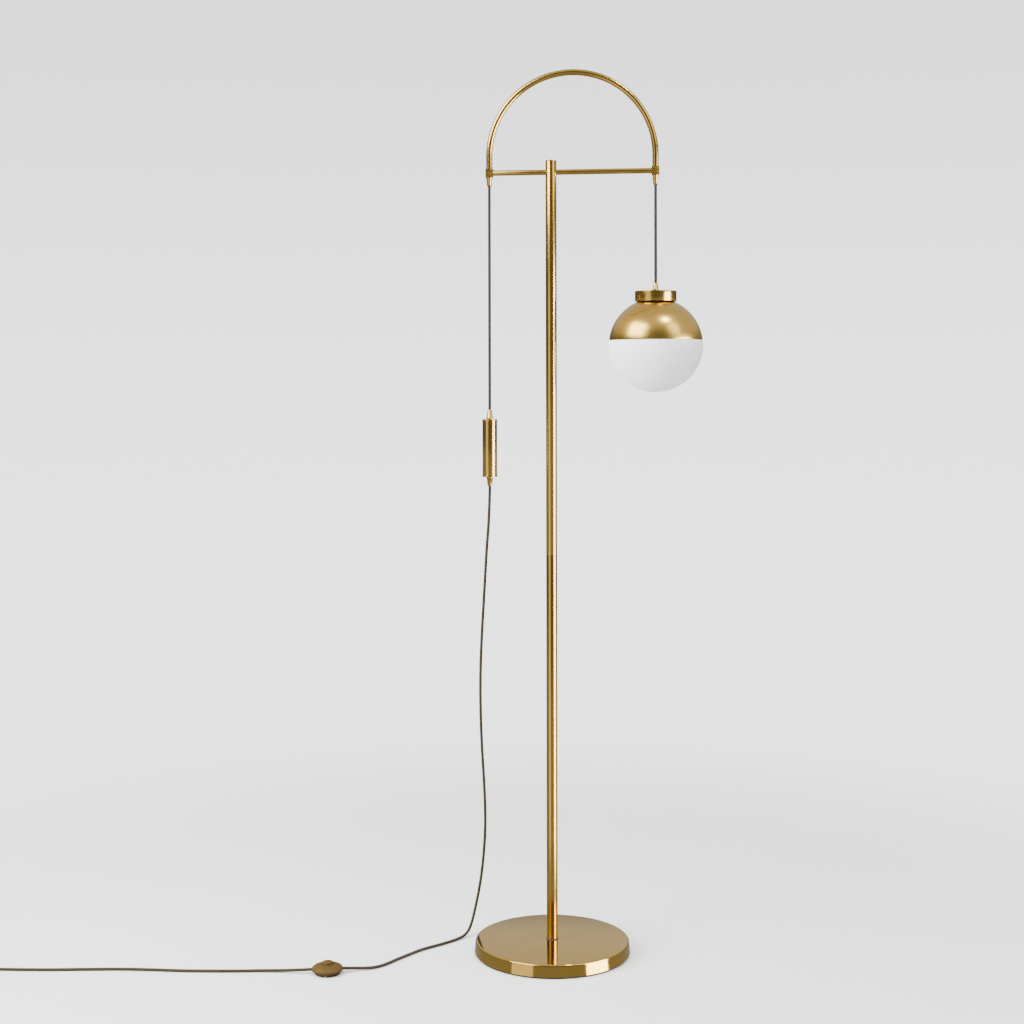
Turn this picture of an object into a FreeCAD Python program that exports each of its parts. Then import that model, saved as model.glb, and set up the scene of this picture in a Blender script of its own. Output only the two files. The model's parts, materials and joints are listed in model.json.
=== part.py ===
import FreeCAD, Part
import math
import os

# Arc floor lamp, in millimetres. +Z is up, the origin is on the floor under the pole, and +X runs
# along the crossbar towards the pendant.

V = FreeCAD.Vector
UP = V(0, 0, 1)

# Fits
SLIP = 0.05             # turned parts that fit together in one body
RUNNING = 0.35          # between parts that move on each other
CORD_GAP = 0.3          # bore clearance round the cord

# Base
BASE_RADIUS = 140.5
BASE_DRAFT = 1.8        # how much smaller the cover is at its top
PAD_HEIGHT = 3.0
PAD_INSET = 3.0
COVER_HEIGHT = 21.4
COVER_WALL = 1.5
COVER_EDGE = 3.2
WEIGHT_HEIGHT = 15.0
WEIGHT_GAP = 1.0
WEIGHT_SCREW_CIRCLE = 95.0
WEIGHT_SCREW_RADIUS = 2.5
WEIGHT_SCREW_COUNT = 3

# Pole
POLE_RADIUS = 10.0
POLE_WALL = 1.5
POLE_SEAM_Z = 720.0
POLE_TOP_Z = 1433.0
POLE_CAP_HEIGHT = 2.0
GASKET_HEIGHT = 1.4
GASKET_RADIUS = 11.2
INSERT_LENGTH = 26.0
COUPLER_LENGTH = 60.0
BOLT_RADIUS = 5.0
BOLT_HEAD_RADIUS = 8.0
BOLT_HEAD_HEIGHT = 5.0
WASHER_RADIUS = 12.0
WASHER_HEIGHT = 1.5
GRUB_RADIUS = 2.5
HEAD_DEPTH = 9.0        # of the head insert below the crossbar
POLE_CAP_EDGE = 0.8

# Arch and crossbar
CROSSBAR_Z = POLE_TOP_Z - 21.5
CROSSBAR_RADIUS = 5.0
ARCH_CENTRE_X = 38.0
ARCH_SPAN_RADIUS = 150.5
ARCH_CENTRE_Z = POLE_TOP_Z + 8.0
ARCH_TUBE_RADIUS = 5.75
ARCH_TUBE_WALL = 1.0
HUB_RADIUS = 7.25
HUB_HEIGHT = 15.6
HUB_SOCKET = 4.0
SPIGOT_RADIUS = 3.0
SPIGOT_LENGTH = 3.4
ARCH_GRIP_RADIUS = 5.7
ARCH_GRIP_TIP = 4.4
ARCH_GRIP_HEIGHT = 16.2
BUSH_RADIUS = 3.4       # ball round the pendant's cord, which lets it swing
LINER_WALL = 0.4
BALL_CLEARANCE = 0.07
LINER_LOW = 0.8         # the liner reaches this far below the ball's middle
LINER_HIGH = 1.6
BALL_DROP = 1.2         # the ball's centre below the grip's end

# Cord
CORD_RADIUS = 2.7
CORD_BORE = CORD_RADIUS + CORD_GAP
CORD_LYING_Z = CORD_RADIUS + 0.1    # the cord's middle where it lies on the floor
WIRE_BORE = 2.0
PENDANT_CORD_LENGTH = 176.2

# Pendant, downwards from the cord's lower end
SHADE_GRIP_HEIGHT = 15.1
SHADE_GRIP_TOP = 4.2
SHADE_GRIP_BOTTOM = 6.0
CAP_RADIUS = 37.5
CAP_HEIGHT = 18.6
CAP_WALL = 1.5
SHADE_RADIUS = 84.4
SHADE_WALL = 1.2
SHADE_CAP_SINK = 6.0    # the dome's top stands this far above the cap's lower edge
SHADE_DEPTH = 75.6      # from the dome's top to its rim
GLASS_WALL = 3.0
GLASS_NECK_HEIGHT = 11.0
GLASS_NECK_GAP = 0.6
GALLERY_WALL = 1.5
GALLERY_HEIGHT = 12.0
GALLERY_SCREW_RADIUS = 1.3
GALLERY_SCREW_RISE = 8.5    # above the dome's rim
CLIP_COUNT = 3
CLIP_WALL = 1.0
CLIP_WIDTH = 8.0
CLIP_LENGTH = 13.0
NIPPLE_RADIUS = 5.0
NUT_RADIUS = 8.5
NUT_HEIGHT = 3.5
HOLDER_RADIUS = 19.0
HOLDER_HEIGHT = 46.0
HOLDER_WALL = 2.0
HOLDER_LIP = 9.0        # the insert's top below the shell's top
CONTACT_RADIUS = 3.0
CONTACT_HEIGHT = 2.5
BULB_TIP_HEIGHT = 1.5
THREAD_COUNT = 5
THREAD_DEPTH = 0.9
BULB_RADIUS = 22.5
BULB_CAP_RADIUS = 13.0
BULB_CAP_HEIGHT = 24.0
BULB_NECK_RADIUS = 11.0
BULB_WALL = 1.0
BULB_NECK_DROP = 9.0

# Counterweight
WEIGHT_TOP_Z = 964.5
COUNTERWEIGHT_RADIUS = 13.4
COUNTERWEIGHT_LENGTH = 104.5
COUNTERWEIGHT_WALL = 1.5
END_CAP_HEIGHT = 3.0
END_CAP_LIP = 0.35
GRIP_HEIGHT = 17.0
GRIP_WIDE = 6.4
GRIP_NARROW = 4.1
GRIP_SHOULDER = 2.0
GRIP_TIP = 1.5          # height of the rounding at a grip's end

# Foot switch
SWITCH_X = -380.5
SWITCH_Y = -151.0
SWITCH_RADIUS = 27.5
SWITCH_WALL = 2.0
SWITCH_BASE_HEIGHT = 8.0
SWITCH_COVER_HEIGHT = 9.0
BUTTON_RADIUS = 9.5
BUTTON_FLANGE = 1.2
BUTTON_FLANGE_HEIGHT = 1.2
BUTTON_BOSS = 3.4
BUTTON_RISE = 5.2
BUTTON_TRAVEL = 3.0
SWITCH_CORD_X = 21.0       # where the cord ends inside the switch, from its middle
SWITCH_CORD_Y = 5.0
SWITCH_CORD_Z = 8.0
SWITCH_SCREW_CIRCLE = 17.5
SWITCH_SCREW_RADIUS = 1.4
SWITCH_SCREW_HEAD = 2.4
SWITCH_POST_RADIUS = 3.2
CONTACTS_SIZE = (22.0, 14.0, 4.2)
CHANNEL_LENGTH = 14.0      # the cord's way in through the switch's wall

# Coil, tie and plug, outside the lamp's own space
COIL_X = -1032.0
COIL_Y = -164.5
COIL_INNER = 19.2
COIL_OUTER = CORD_RADIUS + 38.9
COIL_HEIGHT = 2 * CORD_RADIUS + 5.0
COIL_EDGE = 2.2
COIL_CORD_Z = 4.2          # the cord's middle where it enters the coil
COIL_TAIL_Z = COIL_HEIGHT - CORD_RADIUS - 0.5    # and where it leaves from the upper layer
TIE_WIDTH = 9.0
TIE_WALL = 1.2
PLUG_X = -1067.0
PLUG_Y = -125.5          # where the cord enters the plug's strain relief
PLUG_LENGTH = 36.0
PLUG_WIDTH = 28.0
PLUG_HEIGHT = 17.0
RELIEF_LENGTH = 24.0
RELIEF_WIDE = 5.2
RELIEF_NARROW = 3.7
PIN_RADIUS = 2.0
PIN_LENGTH = 19.0
PIN_SPACING = 19.0
PIN_ROOT = 5.0
PLUG_EDGE = 4.0

# Places that follow from the sizes
COVER_TOP_Z = PAD_HEIGHT + COVER_HEIGHT
POLE_FOOT_Z = COVER_TOP_Z + GASKET_HEIGHT
POLE_BORE = POLE_RADIUS - POLE_WALL
LEFT_X = ARCH_CENTRE_X - ARCH_SPAN_RADIUS
RIGHT_X = ARCH_CENTRE_X + ARCH_SPAN_RADIUS
HUB_TOP_Z = CROSSBAR_Z + HUB_HEIGHT / 2
HUB_BOTTOM_Z = CROSSBAR_Z - HUB_HEIGHT / 2
ARCH_FOOT_Z = HUB_TOP_Z - HUB_SOCKET
ARCH_GRIP_END_Z = HUB_BOTTOM_Z - ARCH_GRIP_HEIGHT
PIVOT_Z = ARCH_GRIP_END_Z - BALL_DROP
LINER_INNER = BUSH_RADIUS + BALL_CLEARANCE
LINER_OUTER = LINER_INNER + LINER_WALL
CORD_FOOT_Z = PIVOT_Z + BUSH_RADIUS + 1.0
CORD_END_Z = PIVOT_Z - PENDANT_CORD_LENGTH
CAP_TOP_Z = CORD_END_Z - SHADE_GRIP_HEIGHT
CAP_BOTTOM_Z = CAP_TOP_Z - CAP_HEIGHT
SHADE_TOP_Z = CAP_BOTTOM_Z + SHADE_CAP_SINK
SHADE_CENTRE_Z = SHADE_TOP_Z - SHADE_RADIUS
RIM_Z = SHADE_TOP_Z - SHADE_DEPTH
SHADE_INNER = SHADE_RADIUS - SHADE_WALL
GALLERY_OUTER = math.sqrt(SHADE_INNER**2 - (RIM_Z + GALLERY_HEIGHT - SHADE_CENTRE_Z)**2) - 1.0
GALLERY_INNER = GALLERY_OUTER - GALLERY_WALL
NECK_OUTER = GALLERY_INNER - GLASS_NECK_GAP
HOLDER_TOP_Z = SHADE_TOP_Z - SHADE_WALL - NUT_HEIGHT
HOLDER_BOTTOM_Z = HOLDER_TOP_Z - HOLDER_HEIGHT
BULB_CAP_TOP_Z = HOLDER_TOP_Z - 18.0
WEIGHT_BOTTOM_Z = WEIGHT_TOP_Z - COUNTERWEIGHT_LENGTH
GRIP_TOP_END_Z = WEIGHT_TOP_Z + GRIP_HEIGHT
GRIP_BOTTOM_END_Z = WEIGHT_BOTTOM_Z - GRIP_HEIGHT

# The cord from the counterweight down to the floor and along it to the foot switch
DROP_ROUTE = [
    (LEFT_X, 0.0, GRIP_BOTTOM_END_Z - CORD_GAP),
    (LEFT_X - 1.0, 0.5, 792.0),
    (LEFT_X - 6.5, 2.5, 727.0),
    (LEFT_X - 11.0, 6.5, 655.0),
    (LEFT_X - 16.5, 13.0, 580.0),
    (-133.5, 22.5, 505.0),
    (-135.0, 34.0, 430.0),
    (-134.0, 46.0, 355.0),
    (-131.0, 58.5, 280.0),
    (-130.5, 70.0, 208.0),
    (-136.0, 79.5, 142.0),
    (-143.5, 86.0, 90.0),
    (-152.0, 88.0, 50.0),
    (-158.5, 83.0, 20.0),
    (-165.0, 67.0, CORD_LYING_Z + 2.7),
    (-177.5, 44.0, CORD_LYING_Z),
    (-204.5, 11.0, CORD_LYING_Z),
    (-235.5, -19.0, CORD_LYING_Z),
    (-256.0, -52.0, CORD_LYING_Z),
    (-271.0, -76.0, CORD_LYING_Z),
    (-287.0, -106.0, CORD_LYING_Z),
    (-306.0, -124.0, CORD_LYING_Z),
    (-330.0, -135.0, SWITCH_CORD_Z - 2.8),
    (SWITCH_X + SWITCH_CORD_X, SWITCH_Y + SWITCH_CORD_Y, SWITCH_CORD_Z),
]

# The cord from the foot switch to the coil
LEAD_ROUTE = [
    (SWITCH_X - SWITCH_CORD_X, SWITCH_Y - SWITCH_CORD_Y, SWITCH_CORD_Z),
    (-430.0, -159.0, SWITCH_CORD_Z - 1.5),
    (-462.0, -156.0, SWITCH_CORD_Z - 4.6),
    (-500.0, -159.0, CORD_LYING_Z),
    (-540.0, -165.5, CORD_LYING_Z),
    (-588.0, -170.5, CORD_LYING_Z),
    (-640.0, -175.0, CORD_LYING_Z),
    (-692.0, -175.0, CORD_LYING_Z),
    (-745.0, -178.0, CORD_LYING_Z),
    (-800.0, -185.5, CORD_LYING_Z),
    (-858.0, -194.0, CORD_LYING_Z),
    (-912.0, -199.5, CORD_LYING_Z),
    (-958.0, -202.5, CORD_LYING_Z),
    (-1000.0, -203.5, CORD_LYING_Z + 0.4),
    (COIL_X + 8.0, COIL_Y - 37.5, COIL_CORD_Z),
]

# The cord from the coil to the plug's strain relief
TAIL_ROUTE = [
    (COIL_X - 36.5, COIL_Y - 7.0, COIL_TAIL_Z),
    (PLUG_X - 3.5, PLUG_Y - 31.0, COIL_TAIL_Z + 0.2),
    (PLUG_X - 3.0, PLUG_Y - 15.0, COIL_TAIL_Z + 0.6),
    (PLUG_X, PLUG_Y, PLUG_HEIGHT / 2),
]


def save(name, *solids):
    """Write one node; several solids in it stay separate."""
    shape = solids[0] if len(solids) == 1 else Part.makeCompound(list(solids))
    shape.exportStep("parts/" + name + ".step")


def rod(radius, low, high, x=0.0, y=0.0):
    return Part.makeCylinder(radius, high - low, V(x, y, low))


def tube(outer, inner, low, high, x=0.0, y=0.0):
    return rod(outer, low, high, x, y).cut(rod(inner, low, high, x, y))


def turned(outline, x=0.0, y=0.0):
    """Turn a closed outline of (radius, height) pairs about an upright axis."""
    points = [V(x + radius, y, height) for radius, height in outline]
    face = Part.Face(Part.makePolygon(points + points[:1]))
    return face.revolve(V(x, y, 0), UP, 360)


def prism(radius, low, high, sides, x=0.0, y=0.0):
    corners = []
    for number in range(sides):
        angle = 2 * math.pi * number / sides
        corners.append(V(x + radius * math.cos(angle), y + radius * math.sin(angle), low))
    return Part.Face(Part.makePolygon(corners + corners[:1])).extrude(V(0, 0, high - low))


def on_circle(radius, count, start=0.0):
    angles = [start + 2 * math.pi * number / count for number in range(count)]
    return [(radius * math.cos(angle), radius * math.sin(angle)) for angle in angles]


def cord_path(name, route):
    """Straight runs joined by arcs as large as the runs allow; prints the smallest radius."""
    points = [V(*point) for point in route]
    edges = []
    start = points[0]
    smallest = None
    for before, corner, after in zip(points, points[1:], points[2:]):
        into = corner - before
        out = after - corner
        run = min(into.Length, out.Length)
        half_turn = into.getAngle(out) / 2
        radius = 0.45 * run / math.tan(half_turn)
        smallest = radius if smallest is None else min(smallest, radius)
        back = V(into).normalize()
        ahead = V(out).normalize()
        arc_start = corner - back * (0.45 * run)
        arc_end = corner + ahead * (0.45 * run)
        inwards = (ahead - back).normalize()
        middle = corner + inwards * (radius / math.cos(half_turn) - radius)
        edges.append(Part.LineSegment(start, arc_start).toShape())
        edges.append(Part.Arc(arc_start, middle, arc_end).toShape())
        start = arc_end
    edges.append(Part.LineSegment(start, points[-1]).toShape())
    path = Part.Wire(edges)
    print(name, "length", round(path.Length, 1), "smallest arc radius", round(smallest, 1))
    return path


def cord_tube(name, path, direction):
    """Sweep the cord's round section along a path and compare the volume."""
    start = path.Edges[0].Vertexes[0].Point
    ring = Part.Wire(Part.makeCircle(CORD_RADIUS, start, direction))
    solid = path.makePipeShell([ring], True, False)
    expected = math.pi * CORD_RADIUS**2 * path.Length
    print(name, "volume over section times length", round(solid.Volume / expected, 4))
    return solid


def routed_cord(name, route):
    path = cord_path(name, route)
    direction = V(*route[1]) - V(*route[0])
    save(name, cord_tube(name, path, direction))


def base_parts():
    top_radius = BASE_RADIUS - BASE_DRAFT
    cover = Part.makeCone(BASE_RADIUS, top_radius, COVER_HEIGHT, V(0, 0, PAD_HEIGHT))
    top_edges = [edge for edge in cover.Edges if abs(edge.BoundBox.ZMin - COVER_TOP_Z) < 0.01]
    cover = cover.makeFillet(COVER_EDGE, top_edges)
    hollow_top = COVER_TOP_Z - COVER_WALL
    hollow = Part.makeCone(BASE_RADIUS - COVER_WALL, top_radius - COVER_WALL,
                           hollow_top - PAD_HEIGHT, V(0, 0, PAD_HEIGHT))
    inner_edges = [edge for edge in hollow.Edges if abs(edge.BoundBox.ZMin - hollow_top) < 0.01]
    hollow = hollow.makeFillet(COVER_EDGE - COVER_WALL, inner_edges)
    cover = cover.cut(hollow)
    cover = cover.cut(rod(BOLT_RADIUS + SLIP, PAD_HEIGHT, COVER_TOP_Z + 1))
    weight_low = hollow_top - WEIGHT_HEIGHT
    screw_places = on_circle(WEIGHT_SCREW_CIRCLE, WEIGHT_SCREW_COUNT, math.pi / 6)
    weight = rod(top_radius - COVER_WALL - COVER_EDGE - WEIGHT_GAP, weight_low, hollow_top)
    weight = weight.cut(rod(BOLT_RADIUS + SLIP, 0, COVER_TOP_Z))
    pocket_top = weight_low + BOLT_HEAD_HEIGHT + WASHER_HEIGHT
    weight = weight.cut(rod(WASHER_RADIUS + 1, 0, pocket_top))
    screws = []
    head_height = WEIGHT_SCREW_RADIUS
    for x, y in screw_places:
        stem = turned([(0, weight_low), (2 * WEIGHT_SCREW_RADIUS, weight_low),
                       (WEIGHT_SCREW_RADIUS, weight_low + head_height),
                       (WEIGHT_SCREW_RADIUS, hollow_top), (0, hollow_top)], x, y)
        weight = weight.cut(stem)
        screws.append(stem)
    pad = rod(BASE_RADIUS - PAD_INSET, 0, PAD_HEIGHT)
    save("base_cover", cover)
    save("base_weight", weight)
    save("base_pad", pad)
    save("weight_screws", *screws)
    washer = tube(WASHER_RADIUS, BOLT_RADIUS + SLIP, pocket_top - WASHER_HEIGHT, pocket_top)
    head = prism(BOLT_HEAD_RADIUS, weight_low, pocket_top - WASHER_HEIGHT, 6)
    shank = rod(BOLT_RADIUS, weight_low, POLE_FOOT_Z + INSERT_LENGTH - 6)
    save("pole_washer", washer)
    save("pole_bolt", head.fuse(shank).removeSplitter())


def pole_parts():
    gasket = turned([(BOLT_RADIUS + 1, COVER_TOP_Z), (GASKET_RADIUS, COVER_TOP_Z),
                     (GASKET_RADIUS, POLE_FOOT_Z - 0.5), (GASKET_RADIUS - 0.5, POLE_FOOT_Z),
                     (BOLT_RADIUS + 1, POLE_FOOT_Z)])
    save("pole_gasket", gasket)
    insert = rod(POLE_BORE, POLE_FOOT_Z, POLE_FOOT_Z + INSERT_LENGTH)
    insert = insert.cut(rod(BOLT_RADIUS + SLIP, 0, POLE_FOOT_Z + INSERT_LENGTH - 5))
    save("pole_foot_insert", insert)
    save("pole_lower", tube(POLE_RADIUS, POLE_BORE, POLE_FOOT_Z, POLE_SEAM_Z))
    save("pole_coupler", rod(POLE_BORE, POLE_SEAM_Z - COUPLER_LENGTH / 2,
                             POLE_SEAM_Z + COUPLER_LENGTH / 2))
    cap_low = POLE_TOP_Z - POLE_CAP_HEIGHT
    across = Part.makeCylinder(CROSSBAR_RADIUS, 4 * POLE_RADIUS,
                               V(-2 * POLE_RADIUS, 0, CROSSBAR_Z), V(1, 0, 0))
    upper = tube(POLE_RADIUS, POLE_BORE, POLE_SEAM_Z, cap_low)
    save("pole_upper", upper.cut(across))
    head_low = CROSSBAR_Z - CROSSBAR_RADIUS - HEAD_DEPTH
    head_high = cap_low - 2
    screw_low = CROSSBAR_Z + CROSSBAR_RADIUS
    grub = rod(GRUB_RADIUS, screw_low - 0.4, head_high - 1)
    head = rod(POLE_BORE, head_low, head_high).cut(across)
    head = head.cut(rod(GRUB_RADIUS, screw_low - 1, head_high + 1))
    save("pole_head_insert", head)
    save("crossbar_screw", grub.cut(across))
    edge = POLE_CAP_EDGE
    cap = turned([(0, cap_low - 2), (POLE_BORE, cap_low - 2), (POLE_BORE, cap_low),
                  (POLE_RADIUS, cap_low), (POLE_RADIUS, POLE_TOP_Z - edge),
                  (POLE_RADIUS - edge, POLE_TOP_Z), (0, POLE_TOP_Z)])
    save("pole_cap", cap)


def hub(x, towards):
    """A knurled hub: cord bore, socket for the arch above, seat for the grip below."""
    edge = 0.5
    body = turned([(0, HUB_BOTTOM_Z), (HUB_RADIUS - edge, HUB_BOTTOM_Z),
                   (HUB_RADIUS, HUB_BOTTOM_Z + edge), (HUB_RADIUS, HUB_TOP_Z - edge),
                   (HUB_RADIUS - edge, HUB_TOP_Z), (0, HUB_TOP_Z)], x)
    body = body.cut(rod(CORD_BORE, HUB_BOTTOM_Z - 1, HUB_TOP_Z + 1, x))
    body = body.cut(rod(ARCH_TUBE_RADIUS, ARCH_FOOT_Z, HUB_TOP_Z + 1, x))
    body = body.cut(rod(CORD_BORE + 1, HUB_BOTTOM_Z - 1, HUB_BOTTOM_Z + HUB_SOCKET, x))
    seat = Part.makeCylinder(SPIGOT_RADIUS, SPIGOT_LENGTH + 1,
                             V(x + towards * (HUB_RADIUS + 1), 0, CROSSBAR_Z), V(-towards, 0, 0))
    return body.cut(seat)


def crossbar():
    """A round bar with a thin spigot at each end; its ends are hollowed to the hubs' curve."""
    low_x = LEFT_X + HUB_RADIUS - 1
    high_x = RIGHT_X - HUB_RADIUS + 1
    bar = Part.makeCylinder(CROSSBAR_RADIUS, high_x - low_x, V(low_x, 0, CROSSBAR_Z), V(1, 0, 0))
    for x in (LEFT_X, RIGHT_X):
        bar = bar.cut(rod(HUB_RADIUS, HUB_BOTTOM_Z - 1, HUB_TOP_Z + 1, x))
    spigot_low = LEFT_X + HUB_RADIUS - SPIGOT_LENGTH
    spigot_high = RIGHT_X - HUB_RADIUS + SPIGOT_LENGTH
    spigots = Part.makeCylinder(SPIGOT_RADIUS, spigot_high - spigot_low,
                                V(spigot_low, 0, CROSSBAR_Z), V(1, 0, 0))
    return bar.fuse(spigots).removeSplitter()


def arch_sweep(radius, foot_z, name=None):
    """Sweep a round section up one leg, round the half circle and down the other."""
    foot_left = V(LEFT_X, 0, foot_z)
    foot_right = V(RIGHT_X, 0, foot_z)
    top_left = V(LEFT_X, 0, ARCH_CENTRE_Z)
    top_right = V(RIGHT_X, 0, ARCH_CENTRE_Z)
    crown = V(ARCH_CENTRE_X, 0, ARCH_CENTRE_Z + ARCH_SPAN_RADIUS)
    path = Part.Wire([Part.LineSegment(foot_left, top_left).toShape(),
                      Part.Arc(top_left, crown, top_right).toShape(),
                      Part.LineSegment(top_right, foot_right).toShape()])
    if name:
        print(name, "length", round(path.Length, 1), "arc radius", ARCH_SPAN_RADIUS)
    ring = Part.Wire(Part.makeCircle(radius, foot_left, UP))
    return path.makePipeShell([ring], True, False)


def arch_grip(x):
    """A turned grip screwed into the hub, with a rounded tip; the cord runs through it."""
    tip = 1.2
    grip = turned([(0, ARCH_GRIP_END_Z), (ARCH_GRIP_TIP - tip, ARCH_GRIP_END_Z),
                   (ARCH_GRIP_TIP, ARCH_GRIP_END_Z + tip),
                   (ARCH_GRIP_RADIUS - 0.4, HUB_BOTTOM_Z - 2.5),
                   (ARCH_GRIP_RADIUS, HUB_BOTTOM_Z - 2.0), (ARCH_GRIP_RADIUS, HUB_BOTTOM_Z),
                   (CORD_BORE + 1 - SLIP, HUB_BOTTOM_Z),
                   (CORD_BORE + 1 - SLIP, HUB_BOTTOM_Z + HUB_SOCKET - 0.5),
                   (0, HUB_BOTTOM_Z + HUB_SOCKET - 0.5)], x)
    return grip.cut(rod(CORD_BORE, ARCH_GRIP_END_Z - 1, HUB_TOP_Z, x))


def arch_parts():
    save("crossbar", crossbar())
    save("hub_left", hub(LEFT_X, 1))
    save("hub_right", hub(RIGHT_X, -1))
    outer = arch_sweep(ARCH_TUBE_RADIUS, ARCH_FOOT_Z)
    inner = arch_sweep(ARCH_TUBE_RADIUS - ARCH_TUBE_WALL, ARCH_FOOT_Z)
    save("arch_tube", outer.cut(inner))
    save("arch_grip_left", arch_grip(LEFT_X))
    pivot = V(RIGHT_X, 0, PIVOT_Z)
    socket = Part.makeSphere(LINER_OUTER + BALL_CLEARANCE, pivot)
    save("arch_grip_right", arch_grip(RIGHT_X).cut(socket))
    ball = Part.makeSphere(BUSH_RADIUS, pivot)
    reach = 2 * BUSH_RADIUS
    save("pendant_bush", ball.cut(rod(CORD_RADIUS, PIVOT_Z - reach, PIVOT_Z + reach, RIGHT_X)))
    liner = Part.makeSphere(LINER_OUTER, pivot).cut(Part.makeSphere(LINER_INNER, pivot))
    band = rod(reach, PIVOT_Z - LINER_LOW, PIVOT_Z + LINER_HIGH, RIGHT_X)
    save("swivel_liner", liner.common(band))
    save("cord_in_arch", arch_sweep(CORD_RADIUS, CORD_FOOT_Z, "cord_in_arch"))
    save("cord_upper_left", rod(CORD_RADIUS, GRIP_TOP_END_Z + CORD_GAP, CORD_FOOT_Z, LEFT_X))


def taper_grip(x, wide_z, tip_z, wide, narrow, bore):
    """A turned cord grip from its wide end to its rounded tip."""
    away = 1 if tip_z > wide_z else -1
    shoulder = wide_z + away * GRIP_SHOULDER
    grip = turned([(0, wide_z), (wide, wide_z), (wide, shoulder), (wide - 0.6, shoulder + away * 0.8),
                   (narrow, tip_z - away * GRIP_TIP), (narrow - 0.9, tip_z), (0, tip_z)], x)
    low = min(wide_z, tip_z) - 1
    return grip.cut(rod(bore, low, low + abs(tip_z - wide_z) + 2, x))


def counterweight_parts():
    low = WEIGHT_BOTTOM_Z
    high = WEIGHT_TOP_Z
    save("counterweight_tube", tube(COUNTERWEIGHT_RADIUS, COUNTERWEIGHT_RADIUS - COUNTERWEIGHT_WALL,
                                    low + END_CAP_HEIGHT, high - END_CAP_HEIGHT, LEFT_X))
    save("counterweight_core", tube(COUNTERWEIGHT_RADIUS - COUNTERWEIGHT_WALL, CORD_BORE,
                                    low + END_CAP_HEIGHT, high - END_CAP_HEIGHT, LEFT_X))
    lip = COUNTERWEIGHT_RADIUS + END_CAP_LIP
    for name, cap_low in (("counterweight_cap_top", high - END_CAP_HEIGHT),
                          ("counterweight_cap_bottom", low)):
        cap_high = cap_low + END_CAP_HEIGHT
        cap = turned([(CORD_BORE, cap_low), (lip - 0.5, cap_low), (lip, cap_low + 0.5),
                      (lip, cap_high - 0.5), (lip - 0.5, cap_high), (CORD_BORE, cap_high)], LEFT_X)
        save(name, cap)
    save("counterweight_grip_top",
         taper_grip(LEFT_X, high, GRIP_TOP_END_Z, GRIP_WIDE, GRIP_NARROW, CORD_RADIUS))
    save("counterweight_grip_bottom",
         taper_grip(LEFT_X, low, GRIP_BOTTOM_END_Z, GRIP_WIDE, GRIP_NARROW, CORD_RADIUS))
    save("cord_in_counterweight", rod(CORD_RADIUS, GRIP_BOTTOM_END_Z, GRIP_TOP_END_Z, LEFT_X))


def spherical_shell(outer, inner, low, high, centre_z):
    """The band of a hollow sphere between two heights."""
    shell = Part.makeSphere(outer, V(RIGHT_X, 0, centre_z))
    shell = shell.cut(Part.makeSphere(inner, V(RIGHT_X, 0, centre_z)))
    return shell.common(rod(2 * outer, low, high, RIGHT_X))


def shade_parts():
    grip = taper_grip(RIGHT_X, CAP_TOP_Z, CORD_END_Z, SHADE_GRIP_BOTTOM, SHADE_GRIP_TOP, WIRE_BORE)
    save("shade_grip", grip)
    outline = [(NIPPLE_RADIUS, CAP_TOP_Z - CAP_WALL), (NIPPLE_RADIUS, CAP_TOP_Z),
               (CAP_RADIUS - 0.6, CAP_TOP_Z), (CAP_RADIUS, CAP_TOP_Z - 0.6),
               (CAP_RADIUS, CAP_BOTTOM_Z), (CAP_RADIUS - CAP_WALL, CAP_BOTTOM_Z),
               (CAP_RADIUS - CAP_WALL, CAP_TOP_Z - CAP_WALL)]
    cap = turned(outline, RIGHT_X)
    ball = Part.makeSphere(SHADE_RADIUS, V(RIGHT_X, 0, SHADE_CENTRE_Z))
    save("shade_cap", cap.cut(ball))
    dome = spherical_shell(SHADE_RADIUS, SHADE_INNER, RIM_Z, SHADE_TOP_Z + 1, SHADE_CENTRE_Z)
    save("shade_dome", dome.cut(rod(NIPPLE_RADIUS + SLIP, RIM_Z, CAP_TOP_Z, RIGHT_X)))
    nipple_low = HOLDER_TOP_Z - HOLDER_WALL
    save("shade_nipple", tube(NIPPLE_RADIUS - SLIP, CORD_BORE, nipple_low, CAP_TOP_Z, RIGHT_X))
    upper_nut = prism(NUT_RADIUS, SHADE_TOP_Z, SHADE_TOP_Z + NUT_HEIGHT, 6, RIGHT_X)
    lower_nut = prism(NUT_RADIUS, HOLDER_TOP_Z, HOLDER_TOP_Z + NUT_HEIGHT, 6, RIGHT_X)
    bore = rod(NIPPLE_RADIUS, nipple_low, CAP_TOP_Z, RIGHT_X)
    dome_ball = Part.makeSphere(SHADE_INNER, V(RIGHT_X, 0, SHADE_CENTRE_Z))
    upper_nut = upper_nut.cut(bore).cut(ball)
    lower_nut = lower_nut.cut(bore).common(dome_ball)
    save("shade_nuts", upper_nut, lower_nut)


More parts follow.
